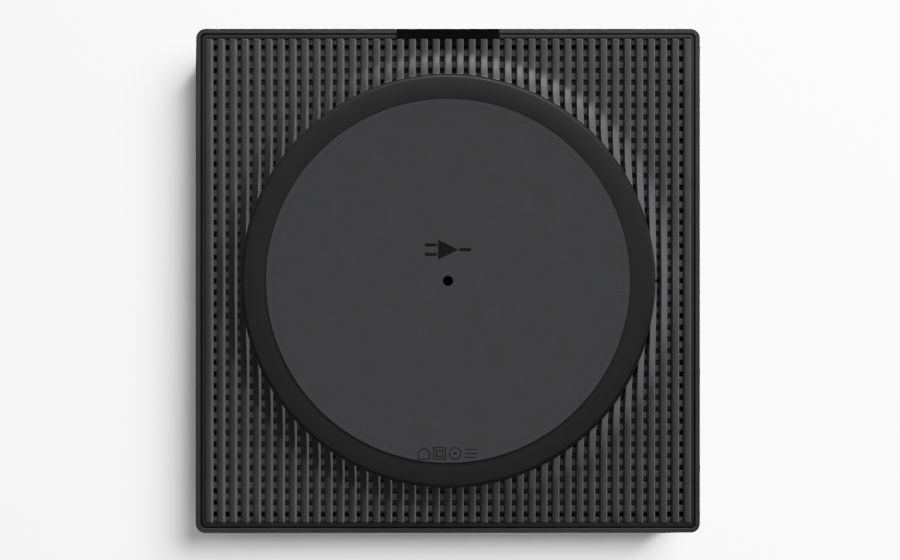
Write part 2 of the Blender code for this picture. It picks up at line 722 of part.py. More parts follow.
def speaker_plug(side):
    """Pull-off half: a block with a slot for each blade and a drilled post for each wire."""
    x, z = SPEAKER_AT[side]
    half = SPEAKER_SIZE[0] / 2 - GAP
    tall = SPEAKER_SIZE[1] / 2 - GAP
    plug = box("speaker_plug_" + side, (x - half, PLUG_Y[0], z - tall), (x + half, PLUG_Y[1], z + tall),
               "black_plastic")
    for pole, sign in (("minus", -1), ("plus", 1)):
        pole_x = x + sign * POLE_OFFSET
        post_low = (pole_x, PLUG_Y[1] - OVERLAP, z + POLE_RISE)
        length = POST_REAR_Y - post_low[1]
        join(plug, cylinder(f"post_{side}_{pole}", PLUG_POST_RADIUS, post_low, length, turn=TURN_BACK, segments=20))
        bore_low = (pole_x, PLUG_Y[0] + 0.0010, z + POLE_RISE)
        cut(plug, cylinder(f"bore_{side}_{pole}", BANANA_RADIUS, bore_low, 0.014, turn=TURN_BACK, segments=16))
        low = (pole_x - 0.0019, PLUG_Y[0] - THROUGH, z - BLADE_DROP - 0.0010)
        high = (pole_x + 0.0019, 0.1020, z - BLADE_DROP + 0.0010)
        cut(plug, box(f"slot_{side}_{pole}", low, high))


def terminal_caps(side):
    """Turning caps that clamp the wires, each centred on its post."""
    x, z = SPEAKER_AT[side]
    inner = PLUG_POST_RADIUS + GAP
    length = CAP_Y[1] - CAP_Y[0]
    profile = [(inner, length), (CAP_RADIUS, length), (CAP_RADIUS, 0), (inner, 0)]
    for pole, sign, finish in (("minus", -1, "black_plastic"), ("plus", 1, "terminal_red")):
        centre = (x + sign * POLE_OFFSET, CAP_Y[0], z + POLE_RISE)
        turned(f"terminal_cap_{side}_{pole}", profile, centre, finish, TURN_BACK, 20, ring=True)


def connect_button():
    """Round push button that is kept in the panel by a flange, and the switch that it presses."""
    x, z = BUTTON_AT
    inner = (x, BUTTON_Y[0], z)
    length = BUTTON_Y[1] - BUTTON_Y[0]
    button = cylinder("connect_button", BUTTON_RADIUS, inner, length, "black_plastic", TURN_BACK, 20)
    flange_radius, flange_thickness = BUTTON_FLANGE
    join(button, cylinder("button_flange", flange_radius, inner, flange_thickness, turn=TURN_BACK, segments=20))
    riser = box("button_switch", (x - 0.004, 0.0796, ON_BOARD), (x + 0.004, 0.0812, z + 0.0045), "board")
    join(riser, box("switch_body", (x - 0.003, 0.0807, z - 0.003), (x + 0.003, 0.0870, z + 0.003)))


# Power board ---------------------------------------------------------------------------------


def board(name, x_range):
    plate = box(name, (x_range[0], BOARD_Y[0], BOARD_Z[0]), (x_range[1], BOARD_Y[1], BOARD_Z[1]), "board")
    for i, (x, y) in enumerate(SCREW_PLACES):
        if x_range[0] < x < x_range[1]:
            low = (x, y, BOARD_Z[0] - THROUGH)
            cut(plate, cylinder(f"{name}_hole_{i}", POST_RADIUS + GAP, low, 0.006, segments=16))


def fins(name, low, high, base_z, count, finish):
    """A finned block: a base plate with upright fins along Y."""
    block = box(name, low, (high[0], high[1], base_z), finish)
    pitch = (high[0] - low[0]) / count
    thick = 0.0016
    for i in range(count):
        left = low[0] + (i + 0.5) * pitch - thick / 2
        fin_low = (left, low[1], base_z - OVERLAP)
        join(block, box(f"{name}_fin_{i}", fin_low, (left + thick, high[1], high[2])))
    return block


def power_supply():
    board("power_board", POWER_BOARD_X)
    core = box("transformer", (-0.094, -0.010, ON_BOARD), (-0.062, 0.022, 0.055), "ferrite")
    bevel(core, 0.0015)
    for name, x in (("left", -0.085), ("right", -0.064)):
        cylinder("bulk_capacitor_" + name, 0.0090, (x, -0.030, ON_BOARD), 0.0235, "capacitor_sleeve")
    choke_profile = [(0.0045, 0.012), (0.0110, 0.012), (0.0110, 0.0), (0.0045, 0.0)]
    turned("emi_choke", choke_profile, (-0.082, 0.062, ON_BOARD), "copper_wire", steps=24, ring=True)
    fuse = box("mains_fuse", (-0.068, 0.056, ON_BOARD), (-0.062, 0.074, ON_BOARD + 0.006), "ceramic_white")
    bevel(fuse, 0.0008)
    fins("power_heatsink", (-0.096, -0.078, ON_BOARD), (-0.070, -0.062, 0.054), ON_BOARD + 0.004, 5, "aluminium")


# Main board ----------------------------------------------------------------------------------


def amplifier_stage():
    """Two class-D chips, the pad and heat sink over them, and the output inductors."""
    for name, x in (("left", 0.006), ("right", 0.036)):
        chip = box("amplifier_chip_" + name, (x - 0.009, -0.049, ON_BOARD), (x + 0.009, -0.037, 0.0349),
                   "black_plastic")
        bevel(chip, 0.0003)
    box("thermal_pad", (-0.004, -0.050, 0.0352), (0.046, -0.036, 0.0357), "thermal_grey")
    sink = fins("heatsink", (-0.040, -0.084, 0.0360), (0.092, 0.018, 0.0560), 0.0400, 16, "aluminium")
    low = (SCREW_PLACES[2][0], SCREW_PLACES[2][1], 0.030)
    cut(sink, cylinder("heatsink_clearance", POST_RADIUS + 2 * GAP, low, 0.030, segments=16))
    for i in range(4):
        x = -0.034 + i * 0.016
        inductor = box(f"output_inductor_{i + 1}", (x, 0.022, ON_BOARD), (x + 0.012, 0.034, 0.0412), "ferrite")
        bevel(inductor, 0.0012)


def digital_stage():
    can = box("shield_can", (0.068, 0.024, ON_BOARD), (0.095, 0.066, 0.0360), "plain_steel")
    bevel(can, 0.0006)
    box("radio_card", (0.034, 0.026, 0.0336), (0.048, 0.050, 0.0346), "board")
    for name, sign in (("left", -1), ("right", 1)):
        inner = SIDE / 2 - WALL - GAP - 0.0008
        x_range = sorted((sign * inner, sign * (inner + 0.0008)))
        box("antenna_" + name, (x_range[0], 0.020, 0.036), (x_range[1], 0.060, 0.048), "board")


def tube(name, points, radius, finish):
    """A short wire or lead through hand-placed points."""
    curve = bpy.data.curves.new(name, "CURVE")
    curve.dimensions = "3D"
    curve.bevel_depth = radius
    curve.bevel_resolution = 1
    curve.use_fill_caps = True
    spline = curve.splines.new("POLY")
    spline.points.add(len(points) - 1)
    for point, (x, y, z) in zip(spline.points, points):
        point.co = (x, y, z, 1)
    source = bpy.data.objects.new(name, curve)
    CUTTERS.objects.link(source)
    return place(name, curve_mesh(source, name), (0, 0, 0), finish)


def arch(start, end, top, steps=8):
    """Points along a half-ellipse from start over to end, rising to the height top."""
    points = []
    for step in range(steps + 1):
        angle = math.pi * step / steps
        share = (1 - math.cos(angle)) / 2
        x = start[0] + (end[0] - start[0]) * share
        y = start[1] + (end[1] - start[1]) * share
        z = start[2] + (end[2] - start[2]) * share + (top - max(start[2], end[2])) * math.sin(angle)
        points.append((x, y, z))
    return points


def wiring():
    tube("power_harness", arch((-0.054, 0.038, 0.0345), (-0.042, 0.038, 0.0345), 0.046), 0.0018, "cable_black")
    lead_left = arch((0.036, 0.040, 0.0358), (-0.1038, 0.034, 0.042), 0.0540, 12)
    lead_right = arch((0.046, 0.040, 0.0358), (0.1038, 0.034, 0.042), 0.0540, 12)
    tube("antenna_lead_left", lead_left, 0.0006, "cable_black")
    tube("antenna_lead_right", lead_right, 0.0006, "cable_black")


def build():
    top_cover()
    bottom_grille()
    vent_screen()
    chassis_plate()
    case_screws()
    foot_base()
    foot_pad()
    foot_screw()
    touch_window()
    touch_carrier()
    touch_electronics()
    rear_panel()
    power_inlet()
    network_jacks()
    hdmi_socket()
    rca_jacks()
    for side in ("left", "right"):
        speaker_socket(side)
        speaker_plug(side)
        terminal_caps(side)
    connect_button()
    power_supply()
    board("main_board", MAIN_BOARD_X)
    amplifier_stage()
    digital_stage()
    wiring()


build()
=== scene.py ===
# %% [markdown]
# # A compact square amplifier, seen from below
#
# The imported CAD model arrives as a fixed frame. This lesson dresses it: it builds fine versions of
# the pieces whose surface matters, gives every piece a material made from nodes, and lights it.
# All sizes are metres in the frame of the CAD model: +Z is up and the front faces -Y.

import json
import math

import bmesh
import bpy
from mathutils import Matrix, Vector


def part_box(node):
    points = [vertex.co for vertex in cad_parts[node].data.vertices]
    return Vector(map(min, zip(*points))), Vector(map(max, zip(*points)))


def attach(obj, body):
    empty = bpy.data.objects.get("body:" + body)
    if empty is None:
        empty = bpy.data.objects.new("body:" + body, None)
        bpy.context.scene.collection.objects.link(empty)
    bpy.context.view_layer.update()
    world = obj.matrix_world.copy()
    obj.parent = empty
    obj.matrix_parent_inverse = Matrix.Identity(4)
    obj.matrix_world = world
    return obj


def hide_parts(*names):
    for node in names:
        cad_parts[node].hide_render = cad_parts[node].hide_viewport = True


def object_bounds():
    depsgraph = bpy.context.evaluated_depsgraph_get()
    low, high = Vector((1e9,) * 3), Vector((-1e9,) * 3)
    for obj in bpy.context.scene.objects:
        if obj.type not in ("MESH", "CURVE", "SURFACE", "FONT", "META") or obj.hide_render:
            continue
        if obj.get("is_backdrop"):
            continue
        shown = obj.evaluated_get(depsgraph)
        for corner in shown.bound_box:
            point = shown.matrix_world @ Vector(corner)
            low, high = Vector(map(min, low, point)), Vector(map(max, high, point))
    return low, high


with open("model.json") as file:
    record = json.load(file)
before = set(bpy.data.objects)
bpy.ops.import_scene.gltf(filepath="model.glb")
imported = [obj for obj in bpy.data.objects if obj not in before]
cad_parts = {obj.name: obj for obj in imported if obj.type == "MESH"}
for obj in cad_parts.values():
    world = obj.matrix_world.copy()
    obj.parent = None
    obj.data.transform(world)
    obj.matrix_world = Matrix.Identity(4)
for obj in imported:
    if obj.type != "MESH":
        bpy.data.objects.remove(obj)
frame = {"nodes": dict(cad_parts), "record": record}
cad_low, cad_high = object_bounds()
print("CAD box", [round(v, 4) for v in cad_low], [round(v, 4) for v in cad_high])

# %% [markdown]
# ## The camera
#
# The amplifier lies upside down, so the camera hangs below it and looks straight up, with the front
# edge at the top of the view. A long lens keeps the sides from leaning. The lens follows from the
# width of the view at the rim and the distance to it, so either can be changed alone.

# %% Place the camera
MM = 0.001
RIM_DISTANCE = 900 * MM
VIEW_WIDTH = 386.8 * MM
rim_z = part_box("top_cover")[0].z

camera_data = bpy.data.cameras.new("camera")
camera_data.sensor_width = 36
camera_data.lens = camera_data.sensor_width * RIM_DISTANCE / VIEW_WIDTH
camera = bpy.data.objects.new("camera", camera_data)
camera.location = (0.86 * MM, -0.34 * MM, rim_z - RIM_DISTANCE)
camera.rotation_euler = (math.pi, 0, 0)
bpy.context.scene.collection.objects.link(camera)
bpy.context.scene.camera = camera
print("lens", round(camera_data.lens, 1), "mm")

# %% [markdown]
# ## Two helpers for materials
#
# Colours are chosen as sRGB hex values, as on a paint chart, and a shader works in linear light, so
# one function converts them. A second function adds a node, sets it up and links it in one line.

# %% Colour and node helpers


def linear(hex_colour):
    """The linear RGBA of an sRGB hex colour."""
    channels = [int(hex_colour[i:i + 2], 16) / 255 for i in (0, 2, 4)]
    return [c / 12.92 if c <= 0.04045 else ((c + 0.055) / 1.055) ** 2.4 for c in channels] + [1.0]


def add_node(tree, kind, inputs=None, feeds=None, **settings):
    """Add a node, set its properties, set or link its inputs, and link its first output to feeds."""
    node = tree.nodes.new(kind)
    for name, value in settings.items():
        setattr(node, name, value)
    for name, value in (inputs or {}).items():
        if isinstance(value, bpy.types.NodeSocket):
            tree.links.new(value, node.inputs[name])
        else:
            node.inputs[name].default_value = value
    if feeds:
        tree.links.new(node.outputs[0], feeds)
    return node


# %% [markdown]
# Every finish here starts the same way: a Principled shader, and the place on the object in metres as
# the pattern's coordinates. Most are also alike in kind. A slow pattern shifts the colour between
# two close tones. A fine one is the grain: it shifts the roughness and raises a bump. So one recipe
# makes them, and what differs is the tones, the sizes in millimetres and the depth of the grain.

# %% The recipe for a grained surface


def start_material(name, roughness, metallic=0.0, ior=1.5):
    """A material with its constant values set, its shader, and the place on the object."""
    material = bpy.data.materials.new(name)
    material.use_nodes = True
    tree = material.node_tree
    shader = tree.nodes["Principled BSDF"]
    shader.inputs["Roughness"].default_value = roughness
    shader.inputs["Metallic"].default_value = metallic
    if not metallic:
        shader.inputs["IOR"].default_value = ior
    place = add_node(tree, "ShaderNodeTexCoord").outputs["Object"]
    return material, tree, shader, place


def two_tones(ramp, dark, light):
    """Spread a ramp's two stops over the middle of the pattern, where most of its values lie."""
    for stop, position, colour in zip(ramp.color_ramp.elements, (0.3, 0.7), (dark, light)):
        stop.position = position
        stop.color = linear(colour)


def grained(name, dark, light, roughness, grain, depth, patch=12.0, spread=0.05,
            stretch=(1, 1, 1), metallic=0.0, ior=1.5):
    """A surface with grain and patches. grain, patch and depth are in millimetres."""
    material, tree, shader, place = start_material(name, roughness, metallic, ior)
    along = add_node(tree, "ShaderNodeMapping", {"Vector": place, "Scale": stretch}).outputs["Vector"]
    patches = add_node(tree, "ShaderNodeTexNoise",
                       {"Vector": along, "Scale": 1 / (patch * MM), "Detail": 3.0})
    tones = add_node(tree, "ShaderNodeValToRGB", {"Fac": patches.outputs["Fac"]}, shader.inputs["Base Color"])
    two_tones(tones, dark, light)
    fine = add_node(tree, "ShaderNodeTexNoise",
                    {"Vector": along, "Scale": 1 / (grain * MM), "Detail": 3.0})
    add_node(tree, "ShaderNodeMapRange",
             {"Value": fine.outputs["Fac"], "To Min": roughness - spread, "To Max": roughness + spread},
             shader.inputs["Roughness"])
    add_node(tree, "ShaderNodeBump", {"Height": fine.outputs["Fac"], "Distance": depth * MM},
             shader.inputs["Normal"])
    return material


# %% [markdown]
# ## The case plastics: moulded ABS with a spark-eroded grain
#
# The case is ABS, moulded in tools whose walls were etched by sparks. The etching leaves a fine
# grain, about 0.1 mm from peak to peak, which breaks reflections into a soft, even sheen. That is
# finer than a view of the whole case can show, so it is drawn at 0.25 to 0.35 mm. A slower, fainter
# mottle keeps large faces from looking like paint. The ribs were polished a little to leave the
# tool, so their rounded edges catch a line of light. Sockets are glass-filled PBT, which is blacker.

# %% Moulded plastics
case_abs = grained("etched_black_abs", "2A2A2B", "2E2E2F", 0.46, 0.35, 0.006)
rib_abs = grained("satin_black_abs", "2B2B2C", "2F2F30", 0.50, 0.25, 0.003)
# A lighter copy of the black plastic for the cross-bars: painted light where the ribs shade them.
painted_light_screen_abs = grained("black_abs_painted_light", "474748", "4C4C4D", 0.55, 0.30, 0.006)
# A darker copy of the black plastic for the ledge and the neck: painted shade for their recess under the rim.
painted_shade_ledge_abs = grained("black_abs_painted_shade", "1C1C1D", "1F1F20", 0.60, 0.30, 0.006)
foot_abs = grained("foot_black_abs", "171718", "19191A", 0.62, 0.35, 0.006)
socket_pbt = grained("black_glass_filled_pbt", "141415", "1A1A1B", 0.42, 0.20, 0.006)
white_abs = grained("white_socket_plastic", "D2D1CB", "DAD9D4", 0.40, 0.20, 0.004)
red_abs = grained("red_socket_plastic", "861A18", "8F211E", 0.42, 0.20, 0.004)
print("plastics made")

# %% [markdown]
# ## The foot pad: silicone rubber and ink
#
# The pad is silicone, cured against a lightly blasted plate. It has almost no shine: light sinks in
# and comes back even, so the disc reads as one flat grey. Screen ink lies on it in a thin layer that
# is a little glossier, with the speckle of the mesh it was pressed through.

# %% Rubber and inks
pad_rubber = grained("grey_silicone_rubber", "414142", "434345", 0.92, 0.40, 0.004, patch=9.0,
                     spread=0.03, ior=1.41)
dark_ink = grained("dark_screen_ink", "19191A", "1E1E1F", 0.60, 0.30, 0.002, patch=2.0)
faint_ink = grained("faint_screen_ink", "363637", "3B3B3C", 0.80, 0.30, 0.002, patch=2.0)
pale_ink = grained("pale_screen_ink", "A6A6A4", "B0B0AE", 0.50, 0.30, 0.002, patch=2.0)
print("rubber and inks made")

# %% [markdown]
# ## The metals
#
# Rolled sheet and turned parts both carry fine lines: rolls leave them along the sheet, a lathe tool
# leaves them around the axis. Stretching the grain along one axis draws them. The chassis plate
# is painted, so it is no longer a metal to the eye but a dull dark coat with an orange-peel skin.

# %% Metals
ALONG_Y = (1, 0.04, 1)
ALONG_Z = (1, 1, 0.04)
tinned_steel = grained("tinned_steel_sheet", "9C9EA0", "B2B4B6", 0.34, 0.25, 0.002, 1.0, 0.07,
                       ALONG_Y, 1.0)
extruded_aluminium = grained("extruded_aluminium", "A9ABAD", "BEC0C2", 0.38, 0.40, 0.002, 1.5, 0.07,
                             ALONG_Y, 1.0)
black_zinc = grained("black_zinc_screw", "1B1B1D", "29292B", 0.42, 0.25, 0.002, 1.0, 0.07, ALONG_Z, 1.0)
gold_plate = grained("gold_plated_brass", "BE9440", "D2AC58", 0.22, 0.20, 0.001, 1.0, 0.05, ALONG_Z, 1.0)
painted_steel = grained("dark_powder_coated_steel", "3E3E3F", "454546", 0.60, 0.80, 0.020, 6.0)
print("metals made")

# %% [markdown]
# ## The touch window: polished acrylic with black behind
#
# The window is moulded acrylic in a polished tool, so it is the only mirror-like surface. Its body
# looks black because the back is printed black. Any moulded sheet is faintly wavy: the bump is
# 25 mm long and a few micrometres deep. The light guide behind it is the same acrylic, left clear.

# %% Acrylics


def polished_acrylic():
    material, tree, shader, place = start_material("polished_black_acrylic", 0.07, ior=1.49)
    smear = add_node(tree, "ShaderNodeTexNoise", {"Vector": place, "Scale": 1 / (18 * MM)}).outputs["Fac"]
    tones = add_node(tree, "ShaderNodeValToRGB", {"Fac": smear}, shader.inputs["Base Color"])
    two_tones(tones, "050506", "080809")
    add_node(tree, "ShaderNodeMapRange", {"Value": smear, "To Min": 0.05, "To Max": 0.09},
             shader.inputs["Roughness"])
    wave = add_node(tree, "ShaderNodeTexNoise", {"Vector": place, "Scale": 1 / (25 * MM), "Detail": 1.0})
    add_node(tree, "ShaderNodeBump", {"Height": wave.outputs["Fac"], "Distance": 0.004 * MM},
             shader.inputs["Normal"])
    return material


window_acrylic = polished_acrylic()
guide_acrylic = grained("clear_light_guide_acrylic", "DDE2E6", "E6EAEE", 0.10, 0.50, 0.001, 2.0, ior=1.49)
guide_acrylic.node_tree.nodes["Principled BSDF"].inputs["Transmission Weight"].default_value = 0.8
print("acrylics made")

# %% [markdown]
# ## What is inside
#
# The boards are glass-epoxy laminate under green solder mask, with copper tracks that show as paler
# lines. Ferrite is fired ceramic, dull and nearly black. The choke shows enamelled copper wire: each
# turn is a rounded ridge. A wave texture draws both, because both are rows of parallel lines.

# %% Board, wire, ferrite, ceramic and film


def lined(name, dark, light, roughness, pitch, depth, distortion, metallic=0.0):
    """A surface of parallel lines, pitch millimetres apart and depth millimetres high."""
    material, tree, shader, place = start_material(name, roughness, metallic)
    waves_per_line = 20       # a wave texture of scale 1 has about one line per 1/20 of a metre
    lines = add_node(tree, "ShaderNodeTexWave",
                     {"Vector": place, "Scale": 1 / (waves_per_line * pitch * MM), "Distortion": distortion})
    tones = add_node(tree, "ShaderNodeValToRGB", {"Fac": lines.outputs["Fac"]}, shader.inputs["Base Color"])
    two_tones(tones, dark, light)
    add_node(tree, "ShaderNodeBump", {"Height": lines.outputs["Fac"], "Distance": depth * MM},
             shader.inputs["Normal"])
    return material


slot_materials = {
    "case_plastic": case_abs,
    "grille_plastic": rib_abs,
    "screen_plastic": painted_light_screen_abs,
    "foot_plastic": foot_abs,
    "rubber": pad_rubber,
    "gloss_black": window_acrylic,
    "black_plastic": socket_pbt,
    "white_plastic": white_abs,
    "terminal_red": red_abs,
    "black_steel": black_zinc,
    "plain_steel": tinned_steel,
    "aluminium": extruded_aluminium,
    "clear_acrylic": guide_acrylic,
    "board": lined("green_solder_mask_on_fr4", "10281A", "1C4228", 0.35, 1.6, 0.03, 4.0),
    "copper_wire": lined("enamelled_copper_wire", "5A2A14", "A05A2E", 0.30, 0.8, 0.20, 0.5, metallic=1.0),
    "ferrite": grained("fired_ferrite", "1E1D1C", "2B2A29", 0.70, 0.6, 0.020, 3.0),
    "ceramic_white": grained("glazed_ceramic", "CFCCC3", "DAD7CF", 0.35, 1.0, 0.010, 2.0),
    "thermal_grey": grained("filled_silicone_pad", "7F8286", "8E9195", 0.85, 0.8, 0.020, 2.0),
    "capacitor_sleeve": grained("shrunk_pvc_sleeve", "161B26", "1E2430", 0.38, 1.0, 0.010, 3.0),
    "flex_film": grained("black_coverlay_film", "1B1917", "23201D", 0.35, 1.0, 0.005, 3.0),
    "cable_black": grained("black_pvc_lead", "111112", "171718", 0.50, 1.0, 0.010, 2.0),
}

# %% [markdown]
# Every CAD node has a material slot in the record. The loop gives each node the finish of its slot,
# so nothing keeps the plain CAD colour.

# %% Dress the CAD nodes
for part in frame["record"]["subparts"]:
    node = frame["nodes"][part["node"]]
    node.data.materials.clear()
    node.data.materials.append(slot_materials[part["material_slot"]])
frame["nodes"]["chassis_plate"].data.materials[0] = painted_steel
print(len(frame["nodes"]), "CAD nodes dressed")

# %% [markdown]
# ## Helpers for shapes
#
# Most pieces here are either turned, extruded or swept. All three start from an outline whose corners
# are rounded, so one function rounds any outline. `loft` joins rings of points into a skin, and is
# used where a surface changes from one outline to another.

# %% Outline and loft helpers


def fillet(points, radii, steps=4):
    """Round the corners of a closed outline; a radius of 0 keeps a corner sharp."""
    rounded = []
    count = len(points)
    for i, (point, radius) in enumerate(zip(points, radii)):
        corner = Vector(point)
        if not radius:
            rounded.append(corner)
            continue
        before = (Vector(points[i - 1]) - corner).normalized()
        after = (Vector(points[(i + 1) % count]) - corner).normalized()
        half = before.angle(after) / 2
        reach = radius / math.tan(half)
        centre = corner + (before + after).normalized() * (radius / math.sin(half))
        start = corner + before * reach - centre
        end = corner + after * reach - centre
        for step in range(steps + 1):
            rounded.append(centre + start.slerp(end, step / steps).normalized() * radius)
    return [tuple(p) for p in rounded]


def corners(left, right, low, high):
    """The corners of a rectangle, from the low left one. It is also the section of a round wall."""
    return [(left, low), (right, low), (right, high), (left, high)]


def rounded_box(width, depth, radius, steps=6):
    """A rounded rectangle about the origin, anticlockwise from its right side."""
    x, y = width / 2, depth / 2
    return fillet([(x, -y), (x, y), (-x, y), (-x, -y)], [radius] * 4, steps)


def loft(name, rings, closed=False, caps=True):
    """Join rings with equal numbers of points. closed joins the last ring to the first."""
    bm = bmesh.new()
    rows = [[bm.verts.new(point) for point in ring] for ring in rings]
    pairs = list(zip(rows, rows[1:]))
    if closed:
        pairs.append((rows[-1], rows[0]))
    for low, high in pairs:
        for i in range(len(low)):
            j = (i + 1) % len(low)
            bm.faces.new((low[i], low[j], high[j], high[i]))
    if caps and not closed:
        bm.faces.new(list(reversed(rows[0])))
        bm.faces.new(rows[-1])
    return mesh_object(name, bm)


def mesh_object(name, bm):
    """Tidy a bmesh, turn its faces outwards and put it in the scene."""
    bmesh.ops.remove_doubles(bm, verts=bm.verts, dist=1e-7)
    bmesh.ops.recalc_face_normals(bm, faces=bm.faces)
    mesh = bpy.data.meshes.new(name)
    bm.to_mesh(mesh)
    bm.free()
    obj = bpy.data.objects.new(name, mesh)
    bpy.context.scene.collection.objects.link(obj)
    return obj


def shade(obj, angle=35):
    obj.data.shade_smooth()
    obj.data.set_sharp_from_angle(angle=math.radians(angle))
    return obj


def turned(name, profile, segments=128, place=Matrix.Identity(4)):
    """Turn a closed profile of (radius, height) about an axis; place says where the axis stands."""
    rings = []
    for i in range(segments):
        angle = 2 * math.pi * i / segments
        direction = Vector((math.cos(angle), math.sin(angle), 0))
        rings.append([place @ (direction * r + Vector((0, 0, z))) for r, z in profile])
    return shade(loft(name, rings, closed=True))


def prism(name, outline, low, high, bevel=0.0, to_rear=False):
    """Extrude an outline: drawn in X and Y and raised in Z, or drawn in X and Z and pushed along Y."""
    rings = []
    for level in (low, high):
        rings.append([(u, level, v) if to_rear else (u, v, level) for u, v in outline])
    obj = loft(name, rings)
    if bevel:
        round_edges(obj, bevel)
    return shade(obj)


def block(name, low, high, bevel=0.0):
    """A box between two corners, with its edges rounded when a bevel is given."""
    return prism(name, corners(low[0], high[0], low[1], high[1]), low[2], high[2], bevel)


def round_edges(obj, width, segments=3, angle=50):
    modifier = obj.modifiers.new("rounded_edges", "BEVEL")
    modifier.width = width
    modifier.segments = segments
    modifier.limit_method = "ANGLE"
    modifier.angle_limit = math.radians(angle)
    bake(obj)


def bake(obj):
    """Replace an object's mesh by what its modifiers make of it."""
    depsgraph = bpy.context.evaluated_depsgraph_get()
    mesh = bpy.data.meshes.new_from_object(obj.evaluated_get(depsgraph))
    obj.modifiers.clear()
    obj.data = mesh


def subtract(obj, *cutters):
    """Cut the cutters out of obj and remove them."""
    for cutter in cutters:
        modifier = obj.modifiers.new("cut", "BOOLEAN")
        modifier.operation = "DIFFERENCE"
        modifier.solver = "EXACT"
        modifier.object = cutter
    bake(obj)
    for cutter in cutters:
        bpy.data.objects.remove(cutter, do_unlink=True)
    return shade(obj)


def flat_faces(obj):
    """Let the large faces set the shading, so that it stays flat up to their rounded edges."""
    modifier = obj.modifiers.new("flat_faces", "WEIGHTED_NORMAL")
    modifier.keep_sharp = True
    bake(obj)
    return obj


def merge(name, pieces):
    """Put several closed solids into one object."""
    bm = bmesh.new()
    for piece in pieces:
        bm.from_mesh(piece.data)
        bpy.data.objects.remove(piece, do_unlink=True)
    mesh = bpy.data.meshes.new(name)
    bm.to_mesh(mesh)
    bm.free()
    obj = bpy.data.objects.new(name, mesh)
    bpy.context.scene.collection.objects.link(obj)
    return shade(obj)


def dress(obj, slot, finish=None, body="case", replaces=()):
    """Give a piece the finish of its slot or the one given, its body, and hide the CAD nodes it replaces."""
    obj.data.materials.clear()
    obj.data.materials.append(finish or slot_materials[slot])
    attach(obj, body)
    if replaces:
        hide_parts(*replaces)
    print(obj.name, len(obj.data.polygons), "faces")
    return obj


# %% [markdown]
# ## The ribs
#
# The underside is one moulding: a ledge around the edge, forty-one ribs from front to back, and a
# neck over the foot. Each rib has a flat face, a wide rounded edge on each side, and a slight
# draft, so that it leaves the tool. Near the neck the faces sweep down in a parabola. A Boolean would
# cut that sweep in facets, so each rib is lofted instead: one section every few millimetres, and a
# section's lowest points follow the sweep.

# %% Measure the grille from the frame
ledge_low, ledge_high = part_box("bottom_grille")
foot_low, foot_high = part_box("foot_base")
screen_low, screen_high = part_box("vent_screen")
FIT = 0.3 * MM
RIB_COUNT = 41
RIB_PITCH = 5.147 * MM
RIB_FACE = 2.1 * MM
RIB_EDGE = (0.50 * MM, 0.85 * MM)      # width and depth of the rounded edge
EDGE_STEPS = 7
RIB_DRAFT = 0.08 * MM
RIB_TOP_Z = 17.3 * MM
GRILLE_HALF = ledge_high.x
LEDGE_WIDTH = 1.8 * MM
RIB_END = GRILLE_HALF - LEDGE_WIDTH - 0.1 * MM
END_SLOPE = 0.3 * MM                   # the last stretch of a rib, where its face slopes away
LEDGE_TOP_Z = 17.5 * MM
FLARE_OUTER = 99.3 * MM
NECK_RADIUS = 88.3 * MM
NECK_Z = ledge_low.z
print("grille half width", round(GRILLE_HALF, 4), "neck", round(NECK_Z, 4))

# %% Build the ribs


def flare_z(x, y):
    """Height of the rib faces: flat outside, then steeper and steeper down to the neck."""
    inward = (FLARE_OUTER - math.hypot(x, y)) / (FLARE_OUTER - NECK_RADIUS)
    share = min(1.0, max(0.0, inward))
    return rim_z - (rim_z - NECK_Z) * share ** 2


def rib_section(x, y, end_drop=0.0):
    """One section of a rib at the distance y: a flat face, rounded edges and drafted sides."""
    wide, deep = RIB_EDGE
    angles = [step / EDGE_STEPS * math.pi / 2 for step in range(EDGE_STEPS + 1)]
    side = [(RIB_FACE / 2 + wide * math.sin(a), deep * (1 - math.cos(a)) + end_drop) for a in angles]
    right = [(x + out, y, flare_z(x + out, y) + up) for out, up in side]
    right.append((x + side[-1][0] + RIB_DRAFT, y, RIB_TOP_Z))
    left = [(x - out, y, flare_z(x - out, y) + up) for out, up in side]
    left.append((x - side[-1][0] - RIB_DRAFT, y, RIB_TOP_Z))
    return left[::-1] + right


def rib_stations(x, start, end):
    """Places along a rib: close together where the face sweeps, far apart where it is straight."""
    stations = [start, start + 0.12 * MM, start + END_SLOPE]
    close, far = 0.7 * MM, 4 * MM
    y = start + END_SLOPE
    while y < end - 0.8 * MM:
        y += close if math.hypot(x, y) < FLARE_OUTER + 2 * MM else far
        stations.append(min(y, end - END_SLOPE))
    return stations + [end]


def rib_spans(x):
    """A rib near the middle stops at the neck on both sides; an outer rib runs through."""
    wide = abs(x) + RIB_FACE / 2 + RIB_EDGE[0]
    if abs(x) - RIB_FACE / 2 >= NECK_RADIUS:
        return [(-RIB_END, RIB_END)]
    overlap, least = 0.6 * MM, 0.5 * MM
    inner = max(least, math.sqrt(max(0.0, NECK_RADIUS ** 2 - wide ** 2)) - overlap)
    return [(-RIB_END, -inner), (inner, RIB_END)]


def build_ribs():
    ribs = []
    for i in range(RIB_COUNT):
        x = (i - (RIB_COUNT - 1) / 2) * RIB_PITCH
        for start, end in rib_spans(x):
            sections = []
            for y in rib_stations(x, start, end):
                to_end = min(abs(y + RIB_END), abs(RIB_END - y))
                sections.append(rib_section(x, y, max(0.0, END_SLOPE - to_end)))
            ribs.append(loft(f"rib_{i}_{start:.3f}", sections))
    return merge("grille_ribs", ribs)


dress(build_ribs(), "grille_plastic")

# %% [markdown]
# ## The ledge and the neck
#
# The ledge is a square frame with rounded corners, a parting groove inside the cover's wall. The neck
# is the short round wall that the foot sits on. Both take a darker copy of the black plastic: painted
# shade for their recess under the rim.

# %% Build the ledge and the neck


def square_ring(half, corner, z, steps=8):
    return [(x, y, z) for x, y in rounded_box(2 * half, 2 * half, corner, steps)]


